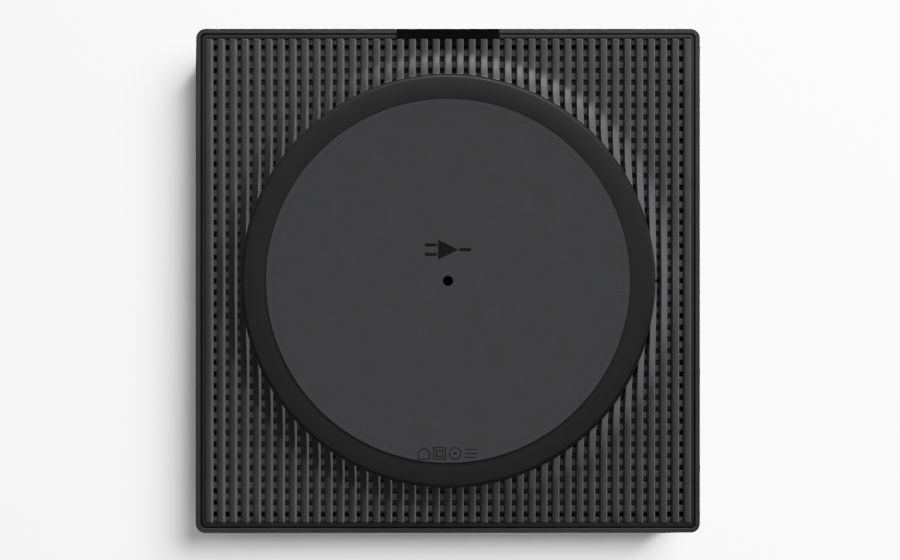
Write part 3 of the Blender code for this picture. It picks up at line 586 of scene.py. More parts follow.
def build_ledge():
    outer, inner = GRILLE_HALF, GRILLE_HALF - LEDGE_WIDTH
    low, high = rim_z + 0.4 * MM, LEDGE_TOP_Z
    soft, mid = 0.25 * MM, 0.07 * MM       # a rounded edge: its reach, and its point at 45 degrees
    outer_corner, least_corner = 2.0 * MM, 0.4 * MM
    sections = [
        (outer, low + soft), (outer - mid, low + mid), (outer - soft, low),
        (inner + soft, low), (inner + mid, low + mid), (inner, low + soft),
        (inner, high), (outer, high),
    ]
    rings = []
    for half, z in sections:
        rings.append(square_ring(half, max(least_corner, outer_corner - (outer - half)), z))
    ledge = shade(loft("grille_ledge", rings, closed=True))
    window_low, window_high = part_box("touch_window")
    notch_low = (window_low.x - 0.3 * MM, -GRILLE_HALF - MM, rim_z - MM)
    notch_high = (window_high.x + 0.3 * MM, window_high.y + 0.6 * MM, low + 3 * MM)
    return subtract(ledge, block("notch", notch_low, notch_high))


def build_hub():
    """The neck is a ring, closed by a plate with a hole for the foot's screw."""
    inner = 84 * MM
    plate_low, plate_high = 13.5 * MM, 17.4 * MM
    hole, rim = 2.2 * MM, inner + 0.5 * MM
    ring = turned("hub_ring", corners(inner, NECK_RADIUS, LEDGE_TOP_Z, NECK_Z), 192)
    plate = turned("hub_plate", corners(hole, rim, plate_high, plate_low), 96)
    return merge("grille_neck", [ring, plate])


# The ledge and the neck take the darker plastic, which is painted shade.
dress(build_ledge(), "grille_plastic", painted_shade_ledge_abs, replaces=["bottom_grille"])
dress(build_hub(), "grille_plastic", painted_shade_ledge_abs)

# %% [markdown]
# ## The cross-bars
#
# Behind the ribs runs a second layer of bars from side to side. Their lower edges are rounded like
# the ribs, so that each catches a thin line of light. Their plastic is a lighter copy of the ribs'
# black: painted light where the ribs shade them.

# %% Build the cross-bars
BAR_COUNT = 40
BAR_PITCH = 5.05 * MM
BAR_WIDTH = 2.9 * MM
BAR_RING = (82 * MM, 88.3 * MM)        # a ring inside the screen, which carries the short bars


def build_bars():
    low, high = screen_low.z, screen_high.z
    field = BAR_COUNT * BAR_PITCH + BAR_PITCH - BAR_WIDTH
    soft = 0.35 * MM
    half = BAR_WIDTH / 2
    bars = []
    for i in range(BAR_COUNT):
        y = (i - (BAR_COUNT - 1) / 2) * BAR_PITCH
        outline = fillet(corners(y - half, y + half, low, high), [soft, soft, 0, 0], 3)
        reach = field / 2 + 0.5 * MM
        ring_reach = math.sqrt(max(0.0, (86 * MM) ** 2 - y * y))      # a bar ends inside the ring
        spans = [(-reach, reach)] if ring_reach == 0 else [(-reach, -ring_reach), (ring_reach, reach)]
        for start, end in spans:
            rings = [[(x, v, w) for v, w in outline] for x in (start, end)]
            bars.append(loft(f"bar_{i}", rings))
    sections = [(screen_high.x, low), (screen_high.x, high), (field / 2, high), (field / 2, low)]
    rings = [square_ring(h, 2 * MM if h > field / 2 else 0.3 * MM, z) for h, z in sections]
    carrier_low, carrier_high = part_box("touch_carrier")
    notch_low = (carrier_low.x - FIT, -screen_high.x - MM, low - MM)
    notch_high = (carrier_high.x + FIT, carrier_high.y + FIT, high + MM)
    bars.append(subtract(loft("bar_frame", rings, closed=True), block("notch", notch_low, notch_high)))
    inner, outer = BAR_RING
    bars.append(turned("bar_ring", corners(inner, outer, high, low), 128))
    return merge("cross_bars", bars)


# The bars take the lighter plastic of their slot, which is painted light.
dress(build_bars(), "screen_plastic", replaces=["vent_screen"])

# %% [markdown]
# ## The cover
#
# The cover is one moulding: four walls and a top with a shallow dish for stacking. Its lower edge is
# the frame around the ribs in this view. A moulded edge is never sharp, so every edge here gets a
# radius of 0.3 mm, and the top edge the larger radius of the real case. The solid is cut from the
# outside in: block, cavity, dish and rear window. Then one bevel rounds what is left sharp. The front
# notch comes last, because the touch window has to meet its edges with only a fine line between.

# %% Measure and build the cover
SIDE = cad_high.x - cad_low.x
HALF = SIDE / 2
HEIGHT = cad_high.z
WALL = 2.2 * MM
CORNER = 4.2 * MM
TOP_EDGE = 2.5 * MM
DISH_RADIUS = 88.5 * MM
DISH_DEPTH = 3.0 * MM
DISH_STEPS = 144
CUT_FROM, CUT_TO = 104 * MM, 112 * MM  # an opening in a wall is cut between these distances
tub_low, tub_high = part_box("rear_panel")
glass_low, glass_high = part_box("touch_window")


def rear_outline(node, radius, steps=6, grow=0.0):
    """The rounded outline of a node's box, as X and Z, grown by the same amount on every side."""
    low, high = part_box(node)
    x, z = socket_centre(node)
    outline = rounded_box(high.x - low.x + 2 * grow, high.z - low.z + 2 * grow, radius, steps)
    return [(u + x, v + z) for u, v in outline]


def socket_centre(node):
    """The middle of a node's box, as X and Z."""
    low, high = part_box(node)
    return (low.x + high.x) / 2, (low.z + high.z) / 2


def window_outline(grow, low):
    """The touch window from the front, grown sideways and upwards: only its top corners are round."""
    half, top = glass_high.x + grow, glass_high.z + grow
    return fillet(corners(-half, half, low, top), [0, 0, MM, MM], 5)


def cover_block():
    rings = [square_ring(HALF, CORNER, rim_z), square_ring(HALF, CORNER, HEIGHT - TOP_EDGE)]
    steps = 8
    for step in range(1, steps + 1):
        angle = step / steps * math.pi / 2
        inset = TOP_EDGE * (1 - math.cos(angle))
        z = HEIGHT - TOP_EDGE + TOP_EDGE * math.sin(angle)
        rings.append(square_ring(HALF - inset, CORNER - inset, z))
    return loft("top_cover_shell", rings)


def cover_cavity():
    inside = rounded_box(SIDE - 2 * WALL, SIDE - 2 * WALL, CORNER - WALL, 8)
    cavity = prism("cavity", inside, rim_z - MM, HEIGHT - WALL)
    profile = corners(0, DISH_RADIUS + WALL, HEIGHT - DISH_DEPTH - WALL, HEIGHT)
    return subtract(cavity, turned("bowl", profile, DISH_STEPS))


def dish_cutter():
    """The dish with a soft corner at its floor."""
    soft = 1.2 * MM
    profile = fillet(corners(0, DISH_RADIUS, HEIGHT - DISH_DEPTH, HEIGHT + MM), [0, soft, 0, 0], 5)
    return turned("dish", profile, DISH_STEPS)


def build_cover():
    cover = cover_block()
    window = rear_outline("rear_panel", 3.3 * MM, grow=FIT)
    rear = prism("rear_window", window, CUT_FROM, CUT_TO, to_rear=True)
    front = prism("front_notch", window_outline(FIT, 10 * MM), -CUT_TO, -CUT_FROM, to_rear=True)
    subtract(cover, cover_cavity(), dish_cutter(), rear)
    round_edges(cover, FIT, segments=3, angle=50)
    return flat_faces(subtract(cover, front))


def cover_posts():
    """Four drilled posts under the top, which take the case screws."""
    low = 24.1 * MM
    high = HEIGHT - DISH_DEPTH - WALL + 0.2 * MM
    drill, post = 1.7 * MM, 3.5 * MM
    profile = corners(drill, post, low, high)
    posts = []
    for x in (-60 * MM, 60 * MM):
        for y in (-50 * MM, 50 * MM):
            posts.append(turned("post", profile, 24, Matrix.Translation((x, y, 0))))
    return merge("cover_posts", posts)


dress(build_cover(), "case_plastic", replaces=["top_cover"])
dress(cover_posts(), "case_plastic")

# %% [markdown]
# ## The touch window
#
# The front window is a gloss strip with a lip that turns under the rim, so it is seen from below as
# a black bar. Its holder behind shows between the ends of the ribs.

# %% Build the touch window
LIP_Y = -104.4 * MM
SNUG = 0.05 * MM      # the fine line left around a piece that is pressed into place
PRINT = 0.03 * MM     # thickness of a layer of ink


def build_window():
    low = glass_low
    half = glass_high.x + FIT - SNUG
    soft, lip_tall, overlap = 0.12 * MM, 1.6 * MM, 0.4 * MM
    outline = window_outline(FIT - SNUG, low.z)
    face = prism("touch_glass", outline, low.y + PRINT, low.y + WALL, to_rear=True)
    round_edges(face, soft)
    lip = block("touch_lip", (-half, low.y + WALL - overlap, low.z), (half, LIP_Y, low.z + lip_tall), soft)
    return merge("touch_glass", [face, lip])


dress(build_window(), "gloss_black", replaces=["touch_window"])

# %% [markdown]
# ## The foot
#
# The foot is a turned-looking disc: a plastic ring with a chamfered edge, and a rubber pad let into
# it with a thin line of shadow around it. Both are turned profiles with many steps, because the eye
# catches a polygon in a circle this large.

# %% Build the foot, the pad and its screw
FOOT_FLAT = 86.6 * MM
PAD_RADIUS = 77.0 * MM
PAD_HOLE = 2.1 * MM


def build_foot():
    """A disc with a boss above and a recess below, and a stepped hole for its screw."""
    low, high = foot_low.z, 4.0 * MM
    outer, inner = foot_high.x, PAD_RADIUS + FIT
    chamfer, recess = 0.9 * MM, 2.3 * MM
    boss, boss_top = 9 * MM, 13.2 * MM
    hole, seat, seat_top = 2.2 * MM, 3.8 * MM, 5 * MM
    points = [(hole, boss_top), (boss, boss_top), (boss, high), (outer, high),
              (outer, low + chamfer), (FOOT_FLAT, low), (inner, low), (inner, recess),
              (seat, recess), (seat, seat_top), (hole, seat_top)]
    radii = [0, 0, 0, 0.3 * MM, 0.25 * MM, 0.25 * MM, 0.15 * MM, 0, 0, 0, 0]
    return turned("foot_ring", fillet(points, radii, 3), 256)


def build_pad():
    """The pad's underside stands back by the thickness of the print, which is the lowest point."""
    edge, thick = PAD_RADIUS + FIT - SNUG, 2 * MM
    section = corners(PAD_HOLE, edge, thick, PRINT)
    return turned("foot_pad_disc", fillet(section, [0, 0, 0.15 * MM, 0.25 * MM], 4), 256)


def build_foot_screw():
    """A screw with a cross cut into its head."""
    low, head_top, tip = 2.6 * MM, 4.7 * MM, 23.5 * MM
    shank, head = 1.9 * MM, 3.5 * MM
    reach, width, deep = 1.7 * MM, 0.45 * MM, 1.4 * MM
    points = [(0, tip), (shank, tip), (shank, head_top), (head, head_top), (head, low), (0, low)]
    screw = turned("foot_screw_head", fillet(points, [0, 0.3 * MM, 0, 0, 0.4 * MM, 0], 3), 48)
    arms = [block("arm", (-a, -b, low - MM), (a, b, low + deep))
            for a, b in ((reach, width), (width, reach))]
    return subtract(screw, *arms)


dress(build_foot(), "foot_plastic", replaces=["foot_base"])
dress(build_pad(), "rubber", replaces=["foot_pad"])
dress(build_foot_screw(), "black_steel", replaces=["foot_screw"])

# %% [markdown]
# ## The print on the pad
#
# The pad carries screen-printed marks. Here they are generic: the circuit symbol of an amplifier in
# the middle, and a row of four plain pictograms near the rear. Ink is a thin layer, so each stroke
# is a flat bar 0.04 mm thick that is sunk a little into the pad.

# %% Draw the marks from strokes
INK = PRINT + 0.01 * MM                # a stroke's thickness: the print and what is sunk in


def stroke(start, end, width):
    """A flat bar from start to end, with square ends."""
    a, b = Vector((*start, 0)), Vector((*end, 0))
    side = (b - a).normalized().cross(Vector((0, 0, 1))) * (width / 2)
    along = (b - a).normalized() * (width / 2)
    outline = [a - along + side, b + along + side, b + along - side, a - along - side]
    return prism("stroke", [(c.x, c.y) for c in outline], 0.0, INK)


def path(points, width, closed=True):
    pairs = list(zip(points, points[1:]))
    if closed:
        pairs.append((points[-1], points[0]))
    return [stroke(a, b, width) for a, b in pairs]


def ring_mark(centre, radius, width):
    section = corners(radius - width / 2, radius + width / 2, 0.0, INK)
    return turned("ring", section, 48, Matrix.Translation((*centre, 0)))


def minus(x, y, r, line):
    return [stroke((x - r, y), (x + r, y), line)]


def plus(x, y, r, line):
    return minus(x, y, r, line) + [stroke((x, y - r), (x, y + r), line)]


def rectangle(x, y, w, h, line):
    return path(corners(x - w, x + w, y - h, y + h), line)


def arrow(x, y, r, line, way):
    """A short arrow: way is 1 for inwards and -1 for outwards."""
    tip = (x, y - way * r)
    heads = [stroke((x + side * 0.7 * r, y - way * 0.3 * r), tip, line) for side in (-1, 1)]
    return heads + [stroke((x, y + way * r), tip, line)]


def centre_mark():
    """An amplifier symbol 19.6 mm wide: a triangle, two leads in and one out."""
    x, y = 0.0, -13.2 * MM
    line = 1.3 * MM
    tall = 4.2 * MM
    triangle = [(x - 4.2 * MM, y - tall), (x + 4.4 * MM, y), (x - 4.2 * MM, y + tall)]
    marks = [prism("triangle", triangle, 0.0, INK)]
    near, far, apart = 5.4 * MM, 9.1 * MM, 2 * MM
    marks += [stroke((x - far, y + d), (x - near, y + d), line) for d in (-apart, apart)]
    marks.append(stroke((x + near, y), (x + far, y), line))
    return merge("amplifier_symbol", marks)


def rear_marks():
    """Four pictograms 5.2 mm tall: a house, a double square, a ring with a dot, and three bars."""
    y = 73.2 * MM
    h = 2.4 * MM
    line = 0.4 * MM
    left = -10.2 * MM
    step = 6.6 * MM
    eaves = y - 0.2 * h
    house = [(left - h, y + h), (left - h, eaves), (left, y - h), (left + h, eaves), (left + h, y + h)]
    marks = path(house, line)
    x = left + step
    for size in (h, 0.5 * h):
        marks += rectangle(x, y, size, size, line)
    x += step
    marks.append(ring_mark((x, y), h, line))
    marks += minus(x, y, 0.1 * h, 0.9 * MM)
    x += step
    for row in (-0.7 * h, 0.0, 0.7 * h):
        marks += minus(x, y + row, h, line)
    return merge("pad_pictograms", marks)


def dash_ring():
    """A ring of short dashes close to the pad's edge, in ink that barely shows."""
    places, group, dashes_in_group = 288, 9, 7
    inner, short, long = 73.9 * MM, 0.715 * MM, 1.3 * MM
    dashes = []
    for i in range(places):
        if i % group < dashes_in_group:
            angle = 2 * math.pi * i / places
            away = Vector((math.cos(angle), math.sin(angle)))
            end = inner + (long if i % 2 else short)
            dashes.append(stroke(away * inner, away * end, 0.3 * MM))
    return merge("pad_dash_ring", dashes)


dress(centre_mark(), "rubber", dark_ink)
dress(dash_ring(), "rubber", faint_ink)
dress(rear_marks(), "rubber", dark_ink)

# %% [markdown]
# ## The rear recess
#
# The sockets stand in a recess so that plugs don't stick out. It is a shallow tray with drafted,
# rounded corners and one cut-out for each socket. Small pictograms tell the sockets apart.

# %% Build the rear tray
PANEL_FACE = 96.3 * MM
PANEL_BACK = tub_low.y
TRAY_WALL = 1.8 * MM
TO_REAR = Matrix.Rotation(-math.pi / 2, 4, "X")


def rearward(x, y, z):
    """A place whose turning axis points to the rear."""
    return Matrix.Translation((x, y, z)) @ TO_REAR


def cut_out(node, radius):
    """A rounded opening that clears a socket by the usual fit."""
    outline = rear_outline(node, radius, 3, FIT)
    return prism("cut", outline, PANEL_BACK - MM, PANEL_FACE + 0.4 * MM, to_rear=True)


def round_hole(x, z, radius):
    return turned("hole", corners(0, radius, 0, 4 * MM), 48, rearward(x, PANEL_BACK - MM, z))


PHONO_HOLE, BUTTON_HOLE = 4.45 * MM, 2.9 * MM
PHONO = {"line_in_left": "white_plastic", "line_in_right": "terminal_red", "sub_out": "black_plastic"}


def build_tray():
    outer = rear_outline("rear_panel", 3 * MM)
    inner = rear_outline("rear_panel", 1.6 * MM, grow=-TRAY_WALL)
    tray = prism("rear_tray", outer, tub_low.y, tub_high.y, to_rear=True)
    inside = prism("inside", inner, PANEL_FACE, tub_high.y + MM, to_rear=True)
    cuts = [cut_out("power_inlet", 1.2 * MM), cut_out("hdmi_socket", 0.8 * MM)]
    cuts += [cut_out("speaker_socket_" + side, 1.0 * MM) for side in ("left", "right")]
    cuts += [cut_out("network_jack_" + key, 0.8 * MM) for key in "ab"]
    cuts += [round_hole(*socket_centre(node), PHONO_HOLE) for node in PHONO]
    cuts.append(round_hole(*socket_centre("connect_button"), BUTTON_HOLE))
    subtract(tray, inside, *cuts)
    round_edges(tray, 0.25 * MM, segments=2, angle=60)
    return shade(tray)


dress(build_tray(), "case_plastic", replaces=["rear_panel"])

# %% [markdown]
# The pictograms are pale ink on the tray and on the touch window. Each is drawn flat with strokes
# like the pad's marks, then turned to face the rear or the front.

# %% Print the panel and the window
FACE_REAR = Matrix(((-1, 0, 0, 0), (0, 0, 1, 0), (0, 1, 0, 0), (0, 0, 0, 1)))
FACE_FRONT = Matrix(((1, 0, 0, 0), (0, 0, -1, 0), (0, 1, 0, 0), (0, 0, 0, 1)))


def panel_marks():
    """Marks on the tray, drawn as seen from the rear, so their X runs the other way."""
    line, r = 0.28 * MM, 0.9 * MM
    pole, over = 6.7 * MM, 9.2 * MM
    marks = []
    for side in ("left", "right"):
        x, z = socket_centre("speaker_socket_" + side)
        marks += minus(-x + pole, z + over, r, line) + plus(-x - pole, z + over, r, line)
    x, z = socket_centre("power_inlet")
    z += 10.5 * MM
    marks.append(ring_mark((-x, z), 1.1 * MM, line))
    marks.append(stroke((-x, z), (-x, z + 1.4 * MM), line))
    x, z = socket_centre("line_in_right")
    marks += arrow(-x + 6.3 * MM, z + 5.3 * MM, r, line, 1)
    x, z = socket_centre("sub_out")
    marks += arrow(-x - 5.9 * MM, z, r, line, -1)
    x, z = socket_centre("hdmi_socket")
    marks += rectangle(-x, z + 5.4 * MM, 1.5 * r, 0.9 * r, line)
    for key in "ab":
        x, z = socket_centre("network_jack_" + key)
        z += 9.6 * MM
        for u, v in ((0.0, 0.8), (-1.2, -0.8), (1.2, -0.8)):
            marks += minus(-x + u * MM, z + v * MM, 0.3 * MM, 0.8 * MM)
        marks += minus(-x, z, 1.2 * MM, 0.2 * MM)
    return merge("panel_pictograms", marks)


def window_marks():
    """Quieter, play and louder, in a row across the touch window."""
    z, line, r, apart = 21 * MM, 0.35 * MM, 1.5 * MM, 14 * MM
    marks = minus(-apart, z, r, line) + plus(apart, z, r, line)
    marks += path([(-1.2 * MM, z - 1.6 * MM), (1.8 * MM, z), (-1.2 * MM, z + 1.6 * MM)], line)
    return merge("window_pictograms", marks)


def stand(obj, turn, y):
    """Turn a flat drawing upright and move it to its wall."""
    obj.data.transform(Matrix.Translation((0, y, 0)) @ turn)
    return obj


dress(stand(panel_marks(), FACE_REAR, PANEL_FACE - 0.01 * MM), "case_plastic", pale_ink)
dress(stand(window_marks(), FACE_FRONT, glass_low.y + 0.04 * MM), "gloss_black", pale_ink)

# %% [markdown]
# ## The sockets
#
# A phono jack is a plated sleeve over a coloured insulator with a contact in its centre. The mains
# inlet is a moulded block with a figure-of-eight well. The network jacks and the video socket are
# folded sheet steel with gold contacts inside.

# %% Build the phono jacks, inlet, contacts and button


def build_phono(node):
    low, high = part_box(node)
    x, z = socket_centre(node)
    body = block(node + "_body", (low.x, low.y, low.z), (high.x, PANEL_BACK - FIT, high.z), 0.4 * MM)
    tip = high.y - PANEL_BACK
    sleeve = fillet(corners(3.1 * MM, 4.15 * MM, -0.8 * MM, tip), [0, 0, 0.35 * MM, 0.3 * MM], 4)
    core = fillet(corners(1.6 * MM, 3.15 * MM, -0.6 * MM, tip - 0.7 * MM), [0, 0, 0, 0.3 * MM], 4)
    place = rearward(x, PANEL_BACK, z)
    dress(body, PHONO[node], replaces=[node])
    dress(turned(node + "_sleeve", sleeve, 64, place), PHONO[node], gold_plate)
    dress(turned(node + "_core", core, 48, place), PHONO[node])


def figure_of_eight(radius, spread, steps=14):
    """Two overlapping circles drawn as one outline."""
    opening = math.acos(spread / radius) if spread < radius else 0.0
    points = []
    for sign, base in ((1, 0.0), (-1, math.pi)):
        for step in range(steps + 1):
            angle = base - (math.pi - opening) + step / steps * 2 * (math.pi - opening)
            points.append((sign * spread + radius * math.cos(angle), radius * math.sin(angle)))
    return points


def build_inlet():
    low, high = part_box("power_inlet")
    x, z = socket_centre("power_inlet")
    inlet = prism("mains_inlet", rear_outline("power_inlet", 1.2 * MM, 4), low.y, high.y, to_rear=True)
    well = [(u + x, v + z) for u, v in figure_of_eight(4.1 * MM, 3.4 * MM)]
    deep = 12 * MM
    subtract(inlet, prism("well", well, high.y - deep, high.y + MM, to_rear=True))
    round_edges(inlet, 0.25 * MM, 2, 60)
    return shade(inlet)


def network_contacts(node):
    """Eight sprung gold wires that slope down from the roof of the jack."""
    x = socket_centre(node)[0]
    low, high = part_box(node)
    wires = []
    wire, pitch, half = 0.3 * MM, 1.02 * MM, 0.18 * MM
    start, end = high.y - 2.5 * MM, high.y - 9.5 * MM
    top, tip = high.z - 2.4 * MM, high.z - 6.2 * MM
    outline = [(start, top), (start, top - wire), (end, tip - wire), (end, tip)]
    for i in range(8):
        u = x + (i - 3.5) * pitch
        rings = [[(u + side, y, z) for y, z in outline] for side in (-half, half)]
        wires.append(loft("wire", rings))
    return merge(node + "_contacts", wires)


def build_button():
    low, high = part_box("connect_button")
    x, z = socket_centre("connect_button")
    length = high.y - low.y
    flange, flange_top, cap = 3.8 * MM, 1.5 * MM, 2.6 * MM
    points = [(0, 0), (flange, 0), (flange, flange_top), (cap, flange_top), (cap, length)]
    points += [(2.0 * MM, length), (1.2 * MM, length - 0.25 * MM), (0, length - 0.35 * MM)]    # a dimple
    profile = fillet(points, [0, 0, 0.2 * MM, 0, 0.3 * MM, 0.1 * MM, 0.1 * MM, 0], 3)
    return turned("connect_button_cap", profile, 48, rearward(x, low.y, z))


for jack in PHONO:
    build_phono(jack)
dress(build_inlet(), "black_plastic", replaces=["power_inlet"])
for key in "ab":
    dress(network_contacts("network_jack_" + key), "plain_steel", gold_plate)
dress(build_button(), "black_plastic", body="connect_button", replaces=["connect_button"])

# %% [markdown]
# ## The speaker plugs
#
# Each speaker lead plugs in with a small block that pulls off. Two posts take the bared wires, and a
# knurled cap clamps each. The flutes are there for the fingers, so they are drawn in full: 30 around
# each cap. Posts are brass with gold plate. A cap rides on its own body, because it turns.

# %% Build the plugs, posts and caps
PLUG_REAR = 103.3 * MM
POST_SPAN = (98.2 * MM, 107.6 * MM)    # where a post starts and ends along Y


def pole_places(side):
    """Each cap on a plug: its pole, the corners of its box, and its axis as X and Z."""
    for pole in ("minus", "plus"):
        low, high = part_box(f"terminal_cap_{side}_{pole}")
        yield pole, low, high, ((low.x + high.x) / 2, (low.z + high.z) / 2)


def build_plug(side):
    """A rounded block with a slot for each contact and a seat for each post."""
    node = "speaker_plug_" + side
    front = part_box(node)[0].y
    plug = prism("plug_block_" + side, rear_outline(node, 1.2 * MM, 4), front, PLUG_REAR, to_rear=True)
    round_edges(plug, 0.4 * MM, 3, 60)
    slot_half, slot_end, slot_drop = 1.9 * MM, 102 * MM, 5.4 * MM
    seat, seat_start, seat_deep = 3.2 * MM, 98 * MM, 8 * MM
    profile = corners(0, seat, 0, seat_deep)
    cutters = []
    for _, _, _, (x, z) in pole_places(side):
        slot_z = z - slot_drop
        cutters.append(block("slot", (x - slot_half, front - MM, slot_z - MM),
                             (x + slot_half, slot_end, slot_z + MM)))
        cutters.append(turned("seat", profile, 32, rearward(x, seat_start, z)))
    return subtract(plug, *cutters)


def build_posts(side):
    posts = []
    start, end = POST_SPAN
    bore, outer, length = 2.0 * MM, 3.1 * MM, end - start
    profile = fillet(corners(bore, outer, 0, length), [0, 0, 0.4 * MM, 0.3 * MM], 3)
    for _, _, _, (x, z) in pole_places(side):
        posts.append(turned("post", profile, 40, rearward(x, start, z)))
    return merge("plug_posts_" + side, posts)


def fluted_cap(side, pole, low, high, centre):
    """A fluted ring: the flutes are cut by moving the points of its outer rings inwards."""
    flutes, per_flute = 30, 6
    count = flutes * per_flute
    flute_depth = 0.22 * MM
    inner, outer = 3.5 * MM, (high.x - low.x) / 2
    length = high.y - low.y
    place = rearward(centre[0], low.y, centre[1])
    soft = 0.3 * MM
    # each point: radius, distance along the axis, and how deep the flutes are there
    profile = [(inner, soft, 0), (inner + soft, 0, 0), (outer - 2 * soft, 0, 0), (outer - soft, soft, 0.5),
               (outer, 2.5 * soft, 1), (outer, length - 2.5 * soft, 1), (outer - soft, length - soft, 0.5),
               (outer - 2 * soft, length, 0), (inner + soft, length, 0), (inner, length - soft, 0)]
    rings = []
    for radius, along, depth in profile:
        ring = []
        for i in range(count):
            angle = 2 * math.pi * i / count
            groove = flute_depth * depth * (0.5 - 0.5 * math.cos(flutes * angle))
            r = radius - groove
            ring.append(place @ Vector((r * math.cos(angle), r * math.sin(angle), along)))
        rings.append(ring)
    return shade(loft(f"knurled_cap_{side}_{pole}", rings, closed=True))


for side in ("left", "right"):
    plug_body = "speaker_plug_" + side
    dress(build_plug(side), "black_plastic", body=plug_body, replaces=[plug_body])
    dress(build_posts(side), "plain_steel", gold_plate, body=plug_body)
    for pole, low, high, centre in pole_places(side):
        cap = f"terminal_cap_{side}_{pole}"
        slot = "terminal_red" if pole == "plus" else "black_plastic"
        dress(fluted_cap(side, pole, low, high, centre), slot, body=cap, replaces=[cap])

# %% [markdown]
# ## The stage
#
# The amplifier lies on a white table with its top down, so the table is the plane just above the top.
# The other views stand it on a floor at its foot. Both planes belong in one file, so each shows only
# its front: seen from behind, a plane is transparent. Neither throws light back at the amplifier.

# %% Lay the table and the floor


def one_sided_plane(name, colour, size, z, facing_down):
    """A large matt plane that can only be seen from its front."""
    bm = bmesh.new()
    bmesh.ops.create_grid(bm, x_segments=1, y_segments=1, size=size / 2)
    if facing_down:
        bmesh.ops.reverse_faces(bm, faces=bm.faces)
    mesh = bpy.data.meshes.new(name)
    bm.to_mesh(mesh)
    bm.free()
    plane = bpy.data.objects.new(name, mesh)
    plane.location.z = z
    bpy.context.scene.collection.objects.link(plane)
    material, tree, shader, _ = start_material(name + "_matt_paint", 0.9)
    shader.inputs["Base Color"].default_value = linear(colour)
    shader.inputs["Specular IOR Level"].default_value = 0.1
    back = add_node(tree, "ShaderNodeNewGeometry").outputs["Backfacing"]
    surface = tree.nodes["Material Output"].inputs["Surface"]
    mix = add_node(tree, "ShaderNodeMixShader", {"Fac": back}, surface)
    tree.links.new(shader.outputs[0], mix.inputs[1])
    add_node(tree, "ShaderNodeBsdfTransparent", feeds=mix.inputs[2])
    plane.data.materials.append(material)
    plane.visible_shadow = plane.visible_diffuse = plane.visible_glossy = False
    plane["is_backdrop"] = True
    return plane


table = one_sided_plane("white_table", "F4F4F4", 4.0, HEIGHT + 0.3 * MM, facing_down=True)
floor = one_sided_plane("pale_floor", "E4E3E1", 400.0, -0.2 * MM, facing_down=False)

# %% [markdown]
# ## The light
#
# The underside faces the camera, so its lights stand below it. Two softboxes low in front light the
# rib faces and the front of the sweep, and fade towards the rear. The touch window would mirror the
# wider one, which leaves it out. Two more at the side light only the ribs. They stand far off, so
# that they reach both sides alike, and give each rib its bright flank. One of them casts no shadow,
# because the foot would hide half the ribs from it. Broad fills from straight below keep the pad
# flat. The table has lights of its own, so that it can be white while the plastic is dark, and so
# has the floor. Three softboxes above serve the side and top views. Powers are in watts, places and
# sizes in metres.

# %% Place the lights


def light_group(name, objects, state):
    """A collection for light linking. state says whether its objects are taken in or left out."""
    group = bpy.data.collections.new(name)
    for obj in objects:
        group.objects.link(obj)
    for link in group.collection_objects:
        link.light_linking.link_state = state
    return group


def softbox(name, place, aim, size, power, gloss=True, shadow=True, only=(), without=()):
    """An area light. only and without choose what it lights."""
    data = bpy.data.lights.new(name, "AREA")
    data.shape, data.energy, data.use_shadow = "RECTANGLE", power, shadow
    data.size, data.size_y = size
    light = bpy.data.objects.new(name, data)
    light.location = place
    light.rotation_euler = (Vector(aim) - Vector(place)).to_track_quat("-Z", "Y").to_euler()
    bpy.context.scene.collection.objects.link(light)
    light.visible_camera = False
    light.visible_glossy = gloss
    if only:
        light.light_linking.receiver_collection = light_group(name + "_lights", only, "INCLUDE")
    if without:
        light.light_linking.receiver_collection = light_group(name + "_leaves_out", without, "EXCLUDE")
    return light


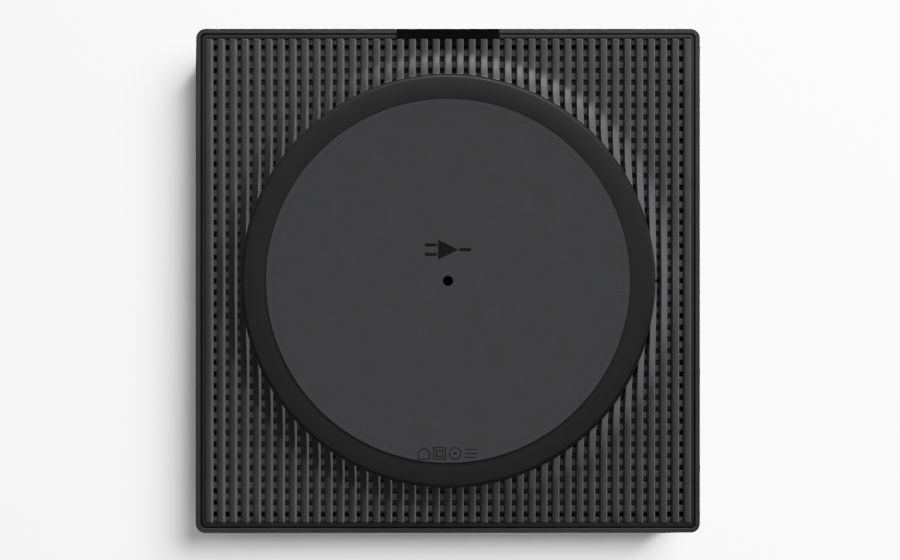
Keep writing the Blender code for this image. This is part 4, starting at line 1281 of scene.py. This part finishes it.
centre = (0, 0, rim_z)
pad = bpy.data.objects["foot_pad_disc"]
ribs = bpy.data.objects["grille_ribs"]
marks = [bpy.data.objects[name] for name in ("amplifier_symbol", "pad_pictograms", "pad_dash_ring")]
window = [bpy.data.objects[name] for name in ("touch_glass", "window_pictograms")]
flat_lit = [pad, *marks, table]        # what the two front lights leave to the fills
softbox("key_below", (0.14, -0.46, -0.27), centre, (0.40, 0.25), 2.5, without=flat_lit)
softbox("front_below", (0.05, -0.80, -0.18), centre, (0.70, 0.24), 2.6, without=[*flat_lit, *window])
softbox("side_below", (2.7, -0.86, -1.0), centre, (2.0, 0.8), 66.0, gloss=False, only=[ribs])
softbox("flank_light", (3.0, 0.0, -0.30), centre, (2.0, 0.47), 420.0, gloss=False, shadow=False, only=[ribs])
softbox("fill_below", (0.0, 0.0, -1.4), centre, (0.9, 0.9), 21.0, gloss=False, without=[table, ribs])
softbox("fill_ribs", (0.0, 0.0, -1.4), centre, (0.9, 0.9), 10.0, gloss=False, only=[ribs])
softbox("table_light", (0.46, -0.45, -1.15), (0, 0, HEIGHT), (0.6, 0.6), 240.0, only=[table])
softbox("table_fill", (0.0, 0.0, -1.6), (0, 0, HEIGHT), (2.0, 2.0), 13.0, only=[table])
softbox("key_above", (-0.9, -1.1, 1.3), centre, (0.9, 0.9), 34.0, without=[floor])
softbox("fill_above", (1.3, -0.3, 0.9), centre, (0.9, 0.9), 16.0, without=[floor])
softbox("rear_above", (0.3, 1.4, 1.0), centre, (0.9, 0.6), 32.0, without=[floor])

sun = bpy.data.objects.new("floor_light", bpy.data.lights.new("floor_light", "SUN"))
sun.data.energy = 14.0
sun.data.angle = 1.2                   # a wide sun, in radians, so that the shadow is soft
sun.rotation_euler = Vector((0.5, 0.6, -1.3)).to_track_quat("-Z", "Y").to_euler()
sun.light_linking.receiver_collection = light_group("floor_light_lights", [floor], "INCLUDE")
bpy.context.scene.collection.objects.link(sun)

world = bpy.data.worlds.new("pale_room")
bpy.context.scene.world = world
world.use_nodes = True
room = world.node_tree
pale_wall = linear("F2F2F2")
room_light = room.nodes["Background"]
room_light.inputs["Color"].default_value = pale_wall
room_light.inputs["Strength"].default_value = 0.12
room_seen = add_node(room, "ShaderNodeBackground", {"Color": pale_wall, "Strength": 4.5})
from_camera = add_node(room, "ShaderNodeLightPath").outputs["Is Camera Ray"]
surface = room.nodes["World Output"].inputs["Surface"]
room_mix = add_node(room, "ShaderNodeMixShader", {"Fac": from_camera}, surface)
room.links.new(room_light.outputs[0], room_mix.inputs[1])
room.links.new(room_seen.outputs[0], room_mix.inputs[2])

# %% [markdown]
# ## Print the size
#
# The dressed model is meant to stay inside the CAD box. Its box is printed here, the CAD box at the start.

# %% Print the dressed box and finish
low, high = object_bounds()
print("visual box", [round(v, 4) for v in low], [round(v, 4) for v in high])
